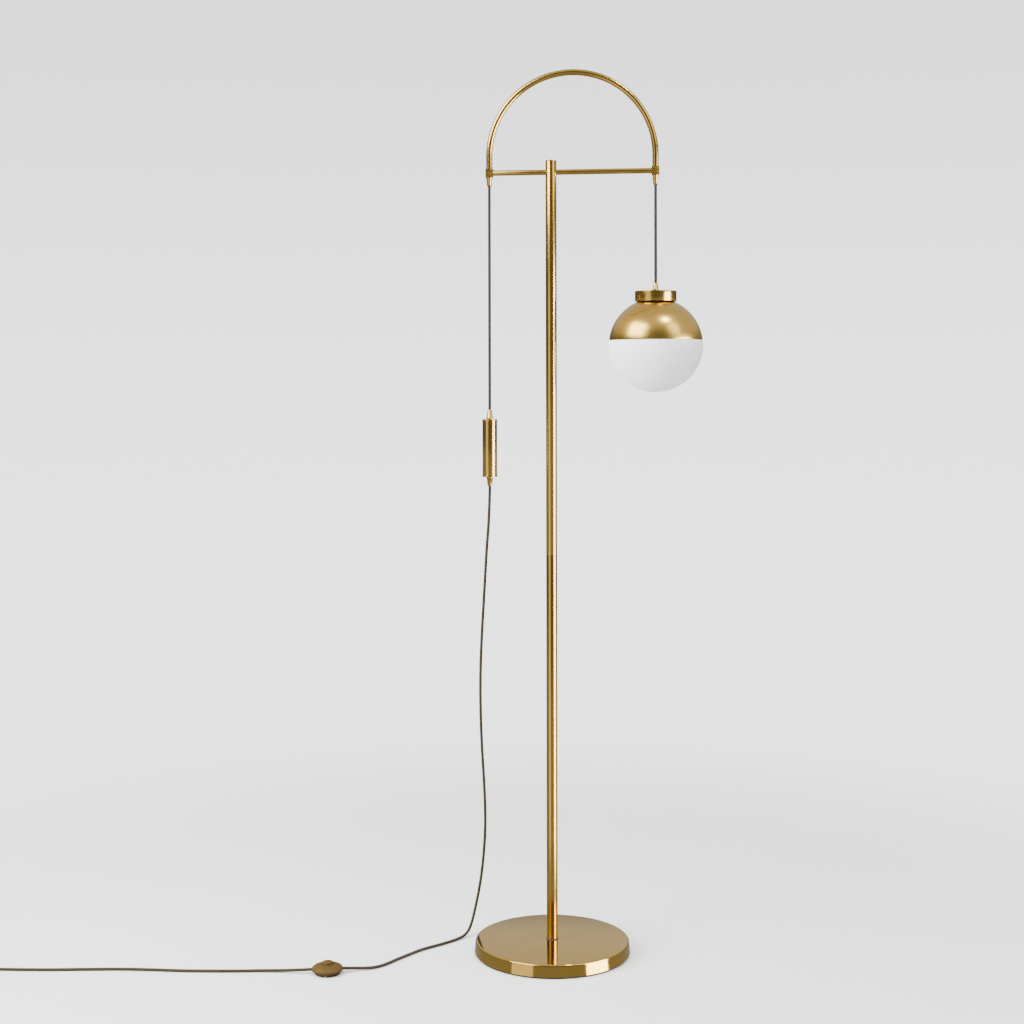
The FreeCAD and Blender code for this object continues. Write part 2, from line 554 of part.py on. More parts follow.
def lamp_parts():
    low = HOLDER_BOTTOM_Z
    high = HOLDER_TOP_Z
    shell = turned([(NIPPLE_RADIUS, high), (HOLDER_RADIUS - 4, high), (HOLDER_RADIUS, high - 5),
                    (HOLDER_RADIUS, low), (HOLDER_RADIUS - HOLDER_WALL, low),
                    (HOLDER_RADIUS - HOLDER_WALL, high - 6),
                    (HOLDER_RADIUS - 6, high - HOLDER_WALL), (NIPPLE_RADIUS, high - HOLDER_WALL)],
                   RIGHT_X)
    save("lampholder_shell", shell)
    insert_high = high - HOLDER_LIP
    insert = rod(HOLDER_RADIUS - HOLDER_WALL - SLIP, low + 4, insert_high, RIGHT_X)
    well_top = BULB_CAP_TOP_Z + BULB_TIP_HEIGHT + CONTACT_HEIGHT
    insert = insert.cut(rod(BULB_CAP_RADIUS + RUNNING + SLIP, low, well_top, RIGHT_X))
    save("lampholder_insert", insert)
    contact_low = BULB_CAP_TOP_Z + BULB_TIP_HEIGHT
    contact_high = contact_low + CONTACT_HEIGHT
    contact = rod(CONTACT_RADIUS, contact_low, contact_high, RIGHT_X)
    save("lampholder_contact", contact)
    cap_low = BULB_CAP_TOP_Z - BULB_CAP_HEIGHT
    thread = [(0, contact_low), (4, contact_low), (6, BULB_CAP_TOP_Z)]
    pitch = (BULB_CAP_HEIGHT - 5) / THREAD_COUNT
    for number in range(THREAD_COUNT):
        crest_z = BULB_CAP_TOP_Z - 1 - number * pitch
        thread.append((BULB_CAP_RADIUS - THREAD_DEPTH, crest_z))
        thread.append((BULB_CAP_RADIUS, crest_z - pitch / 2))
    root = BULB_CAP_RADIUS - THREAD_DEPTH
    thread += [(root, cap_low + 3), (root, cap_low), (0, cap_low)]
    save("bulb_cap", turned(thread, RIGHT_X))
    bulb_centre = cap_low - BULB_NECK_DROP - BULB_RADIUS
    centre = V(RIGHT_X, 0, bulb_centre)
    outer = Part.makeSphere(BULB_RADIUS, centre)
    outer = outer.fuse(rod(BULB_NECK_RADIUS, bulb_centre, cap_low, RIGHT_X))
    inner = Part.makeSphere(BULB_RADIUS - BULB_WALL, centre)
    inner = inner.fuse(rod(BULB_NECK_RADIUS - BULB_WALL, bulb_centre, cap_low + 1, RIGHT_X))
    save("bulb_glass", outer.cut(inner))


def globe_parts():
    neck_top = RIM_Z + GLASS_NECK_HEIGHT
    ring_low = RIM_Z + 0.4
    ring_high = RIM_Z + GALLERY_HEIGHT
    ring = tube(GALLERY_OUTER, GALLERY_INNER, ring_low, ring_high, RIGHT_X)
    flange = tube(SHADE_RADIUS, GALLERY_OUTER - SLIP, RIM_Z + 3, RIM_Z + 5, RIGHT_X)
    inside = Part.makeSphere(SHADE_INNER, V(RIGHT_X, 0, SHADE_CENTRE_Z))
    ring = ring.fuse(flange.common(inside)).removeSplitter()
    clip_wall = CLIP_WALL
    clip_radius = NECK_OUTER - GLASS_WALL - clip_wall - 1.0
    screws = []
    clips = []
    for x, y in on_circle(1.0, CLIP_COUNT, math.pi / 2):
        outwards = V(x, y, 0)
        start = V(RIGHT_X, 0, RIM_Z + GALLERY_SCREW_RISE) + outwards * (GALLERY_INNER + 0.2)
        screws.append(Part.makeCylinder(GALLERY_SCREW_RADIUS, GALLERY_WALL + 0.6, start,
                                        outwards))
        ring = ring.cut(screws[-1])
        leaf = Part.makeBox(clip_wall, CLIP_WIDTH, CLIP_LENGTH,
                            V(clip_radius, -CLIP_WIDTH / 2, ring_high + clip_wall - CLIP_LENGTH))
        bridge = Part.makeBox(GALLERY_OUTER - clip_radius - 0.5, CLIP_WIDTH, clip_wall,
                              V(clip_radius, -CLIP_WIDTH / 2, ring_high))
        clip = leaf.fuse(bridge).removeSplitter()
        clip.rotate(V(0, 0, 0), UP, math.degrees(math.atan2(y, x)))
        clip.translate(V(RIGHT_X, 0, 0))
        clips.append(clip)
    save("gallery_ring", ring)
    save("gallery_screws", *screws)
    save("globe_clips", *clips)
    globe_top = RIM_Z - 0.4
    bowl = spherical_shell(SHADE_RADIUS, SHADE_RADIUS - GLASS_WALL,
                           SHADE_CENTRE_Z - SHADE_RADIUS - 1, globe_top, SHADE_CENTRE_Z)
    neck = tube(NECK_OUTER, NECK_OUTER - GLASS_WALL, globe_top - GLASS_WALL, neck_top, RIGHT_X)
    ball = Part.makeSphere(SHADE_RADIUS, V(RIGHT_X, 0, SHADE_CENTRE_Z))
    shelf = tube(SHADE_RADIUS + 1, NECK_OUTER - GLASS_WALL, globe_top - GLASS_WALL, globe_top, RIGHT_X)
    save("opal_glass", bowl.fuse([neck, shelf.common(ball)]).removeSplitter())


def switch_parts():
    x = SWITCH_X
    y = SWITCH_Y
    base_top = SWITCH_BASE_HEIGHT
    cover_top = base_top + SWITCH_COVER_HEIGHT
    inner = SWITCH_RADIUS - SWITCH_WALL
    base = turned([(0, 0), (SWITCH_RADIUS - 7, 0), (SWITCH_RADIUS - 4.4, 1), (SWITCH_RADIUS - 2, 3),
                   (SWITCH_RADIUS - 0.6, 5.5), (SWITCH_RADIUS, base_top), (inner, base_top),
                   (inner - 1, 4.5), (SWITCH_RADIUS - 7, SWITCH_WALL), (0, SWITCH_WALL)], x, y)
    hole = BUTTON_RADIUS + RUNNING
    cover = turned([(SWITCH_RADIUS, base_top), (SWITCH_RADIUS - 0.4, base_top + 1.6),
                    (SWITCH_RADIUS - 1.5, base_top + 3.2), (SWITCH_RADIUS - 3.5, base_top + 4.7),
                    (SWITCH_RADIUS - 6.7, base_top + 6.2), (17.0, base_top + 7.4),
                    (13.0, base_top + 8.4), (hole, cover_top), (hole, cover_top - SWITCH_WALL),
                    (13.0, base_top + 6.4), (16.5, base_top + 5.4), (20.0, base_top + 4.2),
                    (22.6, base_top + 2.9), (inner - 0.8, base_top + 1.4), (inner, base_top)], x, y)
    for route in (DROP_ROUTE[::-1], LEAD_ROUTE):
        end = V(*route[0])
        channel = Part.makeCylinder(CORD_RADIUS, CHANNEL_LENGTH, end, V(*route[1]) - end)
        base = base.cut(channel)
        cover = cover.cut(channel)
    screws = []
    for dx, dy in on_circle(SWITCH_SCREW_CIRCLE, 2, math.pi / 2):
        post = rod(SWITCH_POST_RADIUS, SWITCH_WALL - 0.5, base_top, x + dx, y + dy)
        screw = rod(SWITCH_SCREW_RADIUS, 0.6, base_top - 1.5, x + dx, y + dy)
        screw = screw.fuse(rod(SWITCH_SCREW_HEAD, 0.6, 2.0, x + dx, y + dy)).removeSplitter()
        base = base.fuse(post).cut(screw)
        base = base.cut(rod(SWITCH_SCREW_HEAD, -1, 0.7, x + dx, y + dy))
        screws.append(screw)
    save("switch_base", base)
    save("switch_cover", cover)
    save("switch_screws", *screws)
    length, width, height = CONTACTS_SIZE
    block = Part.makeBox(length, width, height, V(x - length / 2, y - width / 2, SWITCH_WALL))
    save("switch_contacts", block)
    block_top = SWITCH_WALL + height
    stem_low = block_top + BUTTON_TRAVEL + 1.0
    flange_low = stem_low + 2.0
    flange_high = flange_low + BUTTON_FLANGE_HEIGHT
    flange = BUTTON_RADIUS + BUTTON_FLANGE
    head_high = cover_top + BUTTON_RISE
    button = turned([(0, stem_low), (BUTTON_BOSS, stem_low), (BUTTON_BOSS, flange_low),
                     (flange, flange_low), (flange, flange_high), (BUTTON_RADIUS, flange_high),
                     (BUTTON_RADIUS, head_high - 2.2), (BUTTON_RADIUS - 0.8, head_high - 0.9),
                     (BUTTON_RADIUS - 2.6, head_high - 0.2), (0, head_high)], x, y)
    save("switch_button", button)
    spring = tube(BUTTON_BOSS + 2.0, BUTTON_BOSS + 0.6, block_top, flange_low, x, y)
    save("switch_spring", spring)


def coil_parts():
    edge = COIL_EDGE
    ring = turned([(COIL_INNER + edge, 0), (COIL_OUTER - edge, 0), (COIL_OUTER, edge),
                   (COIL_OUTER, COIL_HEIGHT - edge), (COIL_OUTER - edge, COIL_HEIGHT),
                   (COIL_INNER + edge, COIL_HEIGHT), (COIL_INNER, COIL_HEIGHT - edge),
                   (COIL_INNER, edge)], COIL_X, COIL_Y)
    thick = TIE_WALL
    length = COIL_OUTER - COIL_INNER + 2 * thick
    band = Part.makeBox(length, TIE_WIDTH, COIL_HEIGHT + thick,
                        V(COIL_X - COIL_OUTER - thick, COIL_Y - TIE_WIDTH / 2, 0))
    save("cord_tie", band.cut(ring))
    save("cord_coil", ring)


def plug_parts():
    """The plug lies along +Y: strain relief, body, then the pins."""
    z = PLUG_HEIGHT / 2
    rear = PLUG_Y + RELIEF_LENGTH
    front = rear + PLUG_LENGTH
    body = Part.makeBox(PLUG_WIDTH, PLUG_LENGTH, PLUG_HEIGHT, V(PLUG_X - PLUG_WIDTH / 2, rear, 0))
    long_edges = [edge for edge in body.Edges if edge.BoundBox.YLength > PLUG_LENGTH - 1]
    body = body.makeFillet(PLUG_EDGE, long_edges)
    pins = []
    for side in (-1, 1):
        start = V(PLUG_X + side * PIN_SPACING / 2, front - PIN_ROOT, z)
        pin = Part.makeCylinder(PIN_RADIUS, PIN_LENGTH + PIN_ROOT, start, V(0, 1, 0))
        tip = Part.makeSphere(PIN_RADIUS, V(start.x, front + PIN_LENGTH, z))
        pins.append(pin.fuse(tip).removeSplitter())
        body = body.cut(pins[-1])
    save("plug_body", body)
    save("plug_pins", *pins)
    relief = Part.makeCone(RELIEF_NARROW, RELIEF_WIDE, RELIEF_LENGTH, V(PLUG_X, PLUG_Y, z),
                           V(0, 1, 0))
    save("plug_relief", relief)


def main():
    os.makedirs("parts", exist_ok=True)
    base_parts()
    pole_parts()
    arch_parts()
    counterweight_parts()
    shade_parts()
    lamp_parts()
    globe_parts()
    switch_parts()
    coil_parts()
    plug_parts()
    save("pendant_cord", rod(CORD_RADIUS, CORD_END_Z, PIVOT_Z, RIGHT_X))
    routed_cord("cord_drop", DROP_ROUTE)
    routed_cord("cord_lead", LEAD_ROUTE)
    routed_cord("cord_tail", TAIL_ROUTE)


main()
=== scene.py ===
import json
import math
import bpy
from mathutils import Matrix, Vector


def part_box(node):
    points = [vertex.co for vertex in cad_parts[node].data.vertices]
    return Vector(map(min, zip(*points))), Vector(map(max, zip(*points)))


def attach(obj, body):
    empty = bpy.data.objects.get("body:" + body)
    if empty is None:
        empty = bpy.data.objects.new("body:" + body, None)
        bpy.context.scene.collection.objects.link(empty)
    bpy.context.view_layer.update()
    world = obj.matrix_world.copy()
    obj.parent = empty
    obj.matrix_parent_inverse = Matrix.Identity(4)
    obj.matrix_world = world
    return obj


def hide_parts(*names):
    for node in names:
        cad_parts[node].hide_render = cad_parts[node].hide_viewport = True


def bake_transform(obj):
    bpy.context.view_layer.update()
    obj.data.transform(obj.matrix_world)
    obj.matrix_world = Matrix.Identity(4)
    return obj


bl_info = {
    "name": "Arc Floor Lamp",
    "version": (1, 0, 0),
    "blender": (4, 5, 0),
    "location": "3D View > Sidebar > Lamp",
    "description": "Builds the finished surfaces of an arc floor lamp around its packed frame",
    "category": "Object",
}

import bmesh
import bpy
from bpy.props import FloatProperty, FloatVectorProperty, IntProperty, PointerProperty
from mathutils import Matrix, Vector

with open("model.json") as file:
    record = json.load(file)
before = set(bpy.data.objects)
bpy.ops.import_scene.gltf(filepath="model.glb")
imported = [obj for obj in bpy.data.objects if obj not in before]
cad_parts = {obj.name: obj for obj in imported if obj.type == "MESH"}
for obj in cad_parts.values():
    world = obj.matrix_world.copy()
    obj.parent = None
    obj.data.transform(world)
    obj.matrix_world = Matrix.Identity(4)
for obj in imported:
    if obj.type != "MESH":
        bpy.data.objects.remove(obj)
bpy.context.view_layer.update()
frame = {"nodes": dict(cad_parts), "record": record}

MM = 0.001

# The cord's routes, in metres, as control points of smooth curves
DROP_ROUTE = [
    (-0.1125, 0.0, 0.8427),
    (-0.1135, 0.0005, 0.792),
    (-0.119, 0.0025, 0.727),
    (-0.1235, 0.0065, 0.655),
    (-0.129, 0.013, 0.58),
    (-0.1335, 0.0225, 0.505),
    (-0.135, 0.034, 0.43),
    (-0.134, 0.046, 0.355),
    (-0.131, 0.0585, 0.28),
    (-0.1305, 0.07, 0.208),
    (-0.136, 0.0795, 0.142),
    (-0.1435, 0.086, 0.09),
    (-0.152, 0.088, 0.05),
    (-0.1585, 0.083, 0.02),
    (-0.165, 0.067, 0.0055),
    (-0.1775, 0.044, 0.0028),
    (-0.2045, 0.011, 0.0028),
    (-0.2355, -0.019, 0.0028),
    (-0.256, -0.052, 0.0028),
    (-0.271, -0.076, 0.0028),
    (-0.287, -0.106, 0.0028),
    (-0.306, -0.124, 0.0028),
    (-0.33, -0.135, 0.0052),
    (-0.3595, -0.146, 0.008),
]
LEAD_ROUTE = [
    (-0.4015, -0.156, 0.008),
    (-0.43, -0.159, 0.0065),
    (-0.462, -0.156, 0.0034),
    (-0.5, -0.159, 0.0028),
    (-0.54, -0.1655, 0.0028),
    (-0.588, -0.1705, 0.0028),
    (-0.64, -0.175, 0.0028),
    (-0.692, -0.175, 0.0028),
    (-0.745, -0.178, 0.0028),
    (-0.8, -0.1855, 0.0028),
    (-0.858, -0.194, 0.0028),
    (-0.912, -0.1995, 0.0028),
    (-0.958, -0.2025, 0.0028),
    (-1.0, -0.2035, 0.0028),
]
TAIL_ROUTE = [
    (-1.0705, -0.1565, 0.0078),
    (-1.0700, -0.1405, 0.0082),
    (-1.0670, -0.1255, 0.0085),
]

# ---------------------------------------------------------------- sizes and finishes


class LampSizes(bpy.types.PropertyGroup):
    """Sizes that can be changed without touching the frame"""

    cord_diameter: FloatProperty(
        name="Cord diameter", description="Diameter of the braided cord",
        default=0.0054, unit="LENGTH")
    lathe_steps: IntProperty(
        name="Lathe steps", description="Steps round each turned part",
        default=128, min=32)
    edge_softness: FloatProperty(
        name="Edge softness", description="Rounding of turned edges",
        default=0.0004, unit="LENGTH")
    glass_wall: FloatProperty(
        name="Glass wall", description="Thickness of the opal glass",
        default=0.003, unit="LENGTH")
    dome_wall: FloatProperty(
        name="Dome wall", description="Thickness of the spun dome",
        default=0.0012, unit="LENGTH")
    knurl_teeth: IntProperty(
        name="Knurl teeth", description="Diamonds round each knurled hub",
        default=30, min=8)
    knurl_depth: FloatProperty(
        name="Knurl depth", description="Depth of the knurl's grooves",
        default=0.0005, unit="LENGTH")


class LampFinishes(bpy.types.PropertyGroup):
    """Colours of the lamp's finishes"""

    brass: FloatVectorProperty(
        name="Brass", description="Lacquered brass of the tubes and turned parts",
        subtype="COLOR", size=3, default=(0.63, 0.40, 0.095))
    brass_dark: FloatVectorProperty(
        name="Aged brass", description="Darker tone that the brass takes in places",
        subtype="COLOR", size=3, default=(0.57, 0.35, 0.072))
    cord_light: FloatVectorProperty(
        name="Cord, light thread", description="Lighter thread of the braid",
        subtype="COLOR", size=3, default=(0.060, 0.045, 0.016))
    cord_dark: FloatVectorProperty(
        name="Cord, dark thread", description="Darker thread of the braid",
        subtype="COLOR", size=3, default=(0.012, 0.008, 0.002))
    opal: FloatVectorProperty(
        name="Opal", description="Body colour of the opal glass",
        subtype="COLOR", size=3, default=(0.86, 0.87, 0.86))
    switch_gold: FloatVectorProperty(
        name="Switch gold", description="Moulded foot switch",
        subtype="COLOR", size=3, default=(0.062, 0.036, 0.008))
    floor: FloatVectorProperty(
        name="Floor", description="Pale studio floor",
        subtype="COLOR", size=3, default=(0.76, 0.76, 0.76))


def sizes():
    return bpy.context.scene.lamp_sizes


def finishes():
    return bpy.context.scene.lamp_finishes


# ---------------------------------------------------------------- material helpers


def socket_name(word):
    """Turn specular_ior_level into Specular IOR Level."""
    return word.replace("_", " ").title().replace("Ior", "IOR")


class Graph:
    """A material's node tree, with short calls to add and join nodes"""

    def __init__(self, name):
        self.material = bpy.data.materials.new(name)
        self.material.use_nodes = True
        self.tree = self.material.node_tree
        self.tree.nodes.clear()
        self.output = self.add("ShaderNodeOutputMaterial")
        self.shader = self.add("ShaderNodeBsdfPrincipled")
        self.join(self.shader, "BSDF", self.output, "Surface")

    def add(self, kind, **inputs):
        node = self.tree.nodes.new(kind)
        for name, value in inputs.items():
            node.inputs[socket_name(name)].default_value = value
        return node

    def join(self, source, out, target, into):
        self.tree.links.new(source.outputs[out], target.inputs[into])

    def set(self, **values):
        """Set the shader's own sockets."""
        for name, value in values.items():
            socket = self.shader.inputs[socket_name(name)]
            socket.default_value = (*value, 1.0) if hasattr(value, "__len__") else value

    def place(self, scale=(1, 1, 1), centre=(0, 0, 0), turn=(0, 0, 0)):
        """Object coordinates, moved to a centre, turned and scaled."""
        source = self.add("ShaderNodeTexCoord")
        moved = self.add("ShaderNodeMapping")
        moved.vector_type = "TEXTURE"
        moved.inputs["Location"].default_value = centre
        moved.inputs["Rotation"].default_value = turn
        scaled = self.add("ShaderNodeMapping")
        scaled.inputs["Scale"].default_value = scale
        self.join(source, "Object", moved, "Vector")
        self.join(moved, "Vector", scaled, "Vector")
        return scaled

    def noise(self, place, scale, detail=3.0, roughness=0.5):
        node = self.add("ShaderNodeTexNoise", scale=scale, detail=detail, roughness=roughness)
        self.join(place, "Vector", node, "Vector")
        return node

    def ramp(self, source, out, low, high, start=0.35, end=0.65):
        node = self.add("ShaderNodeValToRGB")
        low_stop, high_stop = node.color_ramp.elements
        low_stop.position, high_stop.position = start, end
        low_stop.color = (*low, 1.0)
        high_stop.color = (*high, 1.0)
        self.join(source, out, node, "Fac")
        return node

    def spread(self, source, out, low, high):
        """Map 0..1 to low..high."""
        node = self.add("ShaderNodeMapRange")
        node.inputs["To Min"].default_value = low
        node.inputs["To Max"].default_value = high
        self.join(source, out, node, "Value")
        return node

    def bump(self, source, out, strength, distance):
        node = self.add("ShaderNodeBump", strength=strength, distance=distance)
        self.join(source, out, node, "Height")
        self.join(node, "Normal", self.shader, "Normal")
        return node


def brass_material(name, rough_low, rough_high, brush_scale, brush_strength, painted_shade_scale=1.0, spun=0.0):
    """Lacquered brass: two close tones, cloudy roughness and fine turning marks; a scale below 1
    darkens both tones as painted shade.
    """
    graph = Graph(name)
    graph.set(metallic=1.0, anisotropic=spun)
    # Both tones scaled down by the last factor: on the knurled hubs this is painted shade
    light = [channel * painted_shade_scale for channel in finishes().brass]
    dark = [channel * painted_shade_scale for channel in finishes().brass_dark]
    cloud = graph.noise(graph.place((1, 1, 0.6)), 14.0, 4.0, 0.6)
    tone = graph.ramp(cloud, "Fac", dark, light, 0.25, 0.55)
    graph.join(tone, "Color", graph.shader, "Base Color")
    rough = graph.spread(cloud, "Fac", rough_low, rough_high)
    graph.join(rough, "Result", graph.shader, "Roughness")
    marks = graph.noise(graph.place(brush_scale), 6.0, 2.0, 0.5)
    graph.bump(marks, "Fac", brush_strength, 0.0002)
    return graph.material


def cord_material(name, repeats_along, repeats_round=7.0):
    """Braided sleeve: light and dark threads that cross, following the cord's own map."""
    graph = Graph(name)
    graph.set(roughness=0.85, sheen_weight=0.08, specular_ior_level=0.2)
    source = graph.add("ShaderNodeTexCoord")
    scaled = graph.add("ShaderNodeMapping")
    scaled.inputs["Scale"].default_value = (repeats_along, repeats_round, 1)
    graph.join(source, "UV", scaled, "Vector")
    waves = []
    for turn in (45.0, -45.0):
        turned = graph.add("ShaderNodeMapping")
        turned.inputs["Rotation"].default_value = (0, 0, math.radians(turn))
        graph.join(scaled, "Vector", turned, "Vector")
        wave = graph.add("ShaderNodeTexWave", scale=math.pi * math.sqrt(2.0) / 10.0)
        graph.join(turned, "Vector", wave, "Vector")
        waves.append(wave)
    braid = graph.add("ShaderNodeMath")
    braid.operation = "MULTIPLY"
    graph.join(waves[0], "Fac", braid, "Value")
    graph.tree.links.new(waves[1].outputs["Fac"], braid.inputs[1])
    tone = graph.ramp(braid, "Value", finishes().cord_dark, finishes().cord_light, 0.05, 0.6)
    graph.join(tone, "Color", graph.shader, "Base Color")
    graph.bump(braid, "Value", 0.6, 0.0006)
    return graph.material


def moulded_material(name, colour, rough, grain=900.0, strength=0.08, gloss=0.5):
    """Moulded plastic or rubber with a fine grain."""
    graph = Graph(name)
    graph.set(roughness=rough, specular_ior_level=gloss)
    cloud = graph.noise(graph.place(), 40.0, 3.0, 0.6)
    low = [channel * 0.85 for channel in colour]
    tone = graph.ramp(cloud, "Fac", low, colour)
    graph.join(tone, "Color", graph.shader, "Base Color")
    fine = graph.noise(graph.place(), grain, 2.0, 0.5)
    graph.bump(fine, "Fac", strength, 0.0002)
    return graph.material


def steel_material(name):
    graph = Graph(name)
    graph.set(metallic=1.0)
    cloud = graph.noise(graph.place((1, 1, 8)), 60.0, 3.0, 0.6)
    tone = graph.ramp(cloud, "Fac", (0.42, 0.42, 0.41), (0.60, 0.60, 0.58))
    graph.join(tone, "Color", graph.shader, "Base Color")
    rough = graph.spread(cloud, "Fac", 0.25, 0.42)
    graph.join(rough, "Result", graph.shader, "Roughness")
    return graph.material


def opal_material(name):
    """White opal glass with an etched, satin skin."""
    graph = Graph(name)
    graph.set(roughness=0.55, subsurface_weight=0.3, specular_ior_level=0.3)
    graph.shader.inputs["Subsurface Radius"].default_value = (0.05, 0.05, 0.05)
    graph.shader.inputs["Subsurface Scale"].default_value = 0.3
    cloud = graph.noise(graph.place((1, 1, 0.5)), 9.0, 2.0, 0.5)
    low = [channel * 0.965 for channel in finishes().opal]
    tone = graph.ramp(cloud, "Fac", low, finishes().opal)
    graph.join(tone, "Color", graph.shader, "Base Color")
    ripple = graph.noise(graph.place(), 30.0, 1.0, 0.4)
    graph.bump(ripple, "Fac", 0.02, 0.0005)
    return graph.material


def bulb_material(name):
    graph = Graph(name)
    graph.set(roughness=0.4, subsurface_weight=0.2, base_color=(0.85, 0.84, 0.80))
    frost = graph.noise(graph.place(), 700.0, 1.0, 0.5)
    graph.bump(frost, "Fac", 0.1, 0.0001)
    return graph.material


def floor_material(name):
    """Pale floor that fades into the surroundings far from the lamp."""
    graph = Graph(name)
    graph.set(roughness=0.55, specular_ior_level=0.3)
    cloud = graph.noise(graph.place(), 1.3, 3.0, 0.5)
    low = [channel * 0.985 for channel in finishes().floor]
    tone = graph.ramp(cloud, "Fac", low, finishes().floor)
    graph.join(tone, "Color", graph.shader, "Base Color")
    source = graph.add("ShaderNodeTexCoord")
    distance = graph.add("ShaderNodeVectorMath")
    distance.operation = "LENGTH"
    graph.join(source, "Object", distance, "Vector")
    fade = graph.add("ShaderNodeMapRange")
    fade.interpolation_type = "SMOOTHSTEP"
    fade.inputs["From Min"].default_value = 0.7
    fade.inputs["From Max"].default_value = 1.9
    graph.join(distance, "Value", fade, "Value")
    clear = graph.add("ShaderNodeBsdfTransparent")
    mix = graph.add("ShaderNodeMixShader")
    graph.join(fade, "Result", mix, "Fac")
    graph.tree.links.new(graph.shader.outputs["BSDF"], mix.inputs[1])
    graph.tree.links.new(clear.outputs["BSDF"], mix.inputs[2])
    graph.join(mix, "Shader", graph.output, "Surface")
    return graph.material


MAKERS = {
    "polished": lambda: brass_material("polished_brass", 0.15, 0.22, (6, 6, 300), 0.02),
    "satin": lambda: brass_material("satin_brass", 0.22, 0.30, (4, 4, 400), 0.06, spun=0.35),
    "plate": lambda: brass_material("base_plate_brass", 0.06, 0.11, (60, 60, 60), 0.01),
    # Knurled hubs: brass darkened to 0.22, painted shade standing in for the dark of the knurl's
    # grooves
    "knurled": lambda: brass_material("knurled_brass", 0.42, 0.55, (40, 40, 40), 0.1, 0.22),
    "switch": lambda: moulded_material("gold_plastic", finishes().switch_gold, 0.5, gloss=0.12),
    "black": lambda: moulded_material("black_plastic", (0.020, 0.018, 0.015), 0.5),
    "rubber": lambda: moulded_material("dark_rubber", (0.030, 0.026, 0.022), 0.8),
    "iron": lambda: moulded_material("cast_iron", (0.06, 0.06, 0.06), 0.7, 200.0, 0.4),
    "ceramic": lambda: moulded_material("ceramic", (0.80, 0.79, 0.75), 0.2),
    "steel": lambda: steel_material("plated_steel"),
    "opal": lambda: opal_material("opal_glass"),
    "bulb": lambda: bulb_material("bulb_glass"),
    "thread": lambda: moulded_material("cord_thread", finishes().cord_light, 0.9, 1500.0, 0.5),
    "floor": lambda: floor_material("studio_floor"),
}
MADE = {}


def finish(key):
    """The material of that key, made once."""
    if key not in MADE:
        MADE[key] = MAKERS[key]()
    return MADE[key]


# ---------------------------------------------------------------- mesh helpers


def middle(node):
    low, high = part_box(node)
    return (low + high) / 2


def middle_radius(node):
    """Radius of an upright turned node."""
    low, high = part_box(node)
    return (high.x - low.x) / 2


def write_piece(name, bm, material, sharp=35.0):
    """Turn a bmesh into a smooth-shaded object with crisp edges kept."""
    mesh = bpy.data.meshes.new(name)
    bm.to_mesh(mesh)
    bm.free()
    for face in mesh.polygons:
        face.use_smooth = True
    mesh.set_sharp_from_angle(angle=math.radians(sharp))
    mesh.materials.append(material)
    piece = bpy.data.objects.new(name, mesh)
    bpy.context.scene.collection.objects.link(piece)
    return piece


def soften(bm, radius, angle=25.0, segments=3):
    """Round every edge whose faces meet at more than the angle."""
    hard = [edge for edge in bm.edges
            if len(edge.link_faces) == 2 and edge.calc_face_angle(0) > math.radians(angle)]
    bmesh.ops.bevel(bm, geom=hard, offset=radius, offset_type="OFFSET", affect="EDGES",
                    segments=segments, profile=0.5, material=-1, clamp_overlap=True)


def lathe(outline, centre, radius=None, closed=True, steps=None, segments=3):
    """Turn an outline of (radius, height) pairs about the upright axis through centre."""
    bm = bmesh.new()
    verts = [bm.verts.new((r, 0, z)) for r, z in outline]
    edges = [bm.edges.new(pair) for pair in zip(verts, verts[1:])]
    if closed:
        edges.append(bm.edges.new((verts[-1], verts[0])))
    bmesh.ops.spin(bm, geom=verts + edges, axis=(0, 0, 1), cent=(0, 0, 0),
                   angle=2 * math.pi, steps=steps or sizes().lathe_steps, use_merge=True,
                   use_duplicate=False)
    bmesh.ops.remove_doubles(bm, verts=bm.verts, dist=1e-6)
    bmesh.ops.dissolve_degenerate(bm, dist=1e-7, edges=bm.edges)
    bmesh.ops.recalc_face_normals(bm, faces=bm.faces)
    if radius is None:
        radius = sizes().edge_softness
    if radius:
        soften(bm, radius, segments=segments)
    bmesh.ops.translate(bm, verts=bm.verts, vec=(centre[0], centre[1], 0))
    return bm


def arc(centre_r, centre_z, radius, start, end, count):
    """Points of a round stretch of an outline; the angles are from the level, in degrees."""
    points = []
    for number in range(count + 1):
        angle = math.radians(start + (end - start) * number / count)
        points.append((centre_r + radius * math.cos(angle), centre_z + radius * math.sin(angle)))
    return points


def oval(radius, level, height, start, end, count):
    """Points of an oval shell's outline, whose widest place is at that level."""
    points = []
    for number in range(count + 1):
        angle = math.radians(start + (end - start) * number / count)
        points.append((radius * math.cos(angle), level + height * math.sin(angle)))
    return points


def add_piece(name, bm, finish_key, body, node, sharp=35.0):
    """Make a finished piece that rides on its body and stands for its node."""
    piece = write_piece(name, bm, finish(finish_key), sharp)
    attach(piece, body)
    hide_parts(node)


def spline_object(name, route):
    curve = bpy.data.curves.new(name, "CURVE")
    curve.dimensions = "3D"
    spline = curve.splines.new("NURBS")
    spline.points.add(len(route) - 1)
    for point, place in zip(spline.points, route):
        point.co = (*place, 1.0)
    spline.order_u = 3
    spline.use_endpoint_u = True
    spline.resolution_u = 10
    item = bpy.data.objects.new(name, curve)
    bpy.context.scene.collection.objects.link(item)
    return item


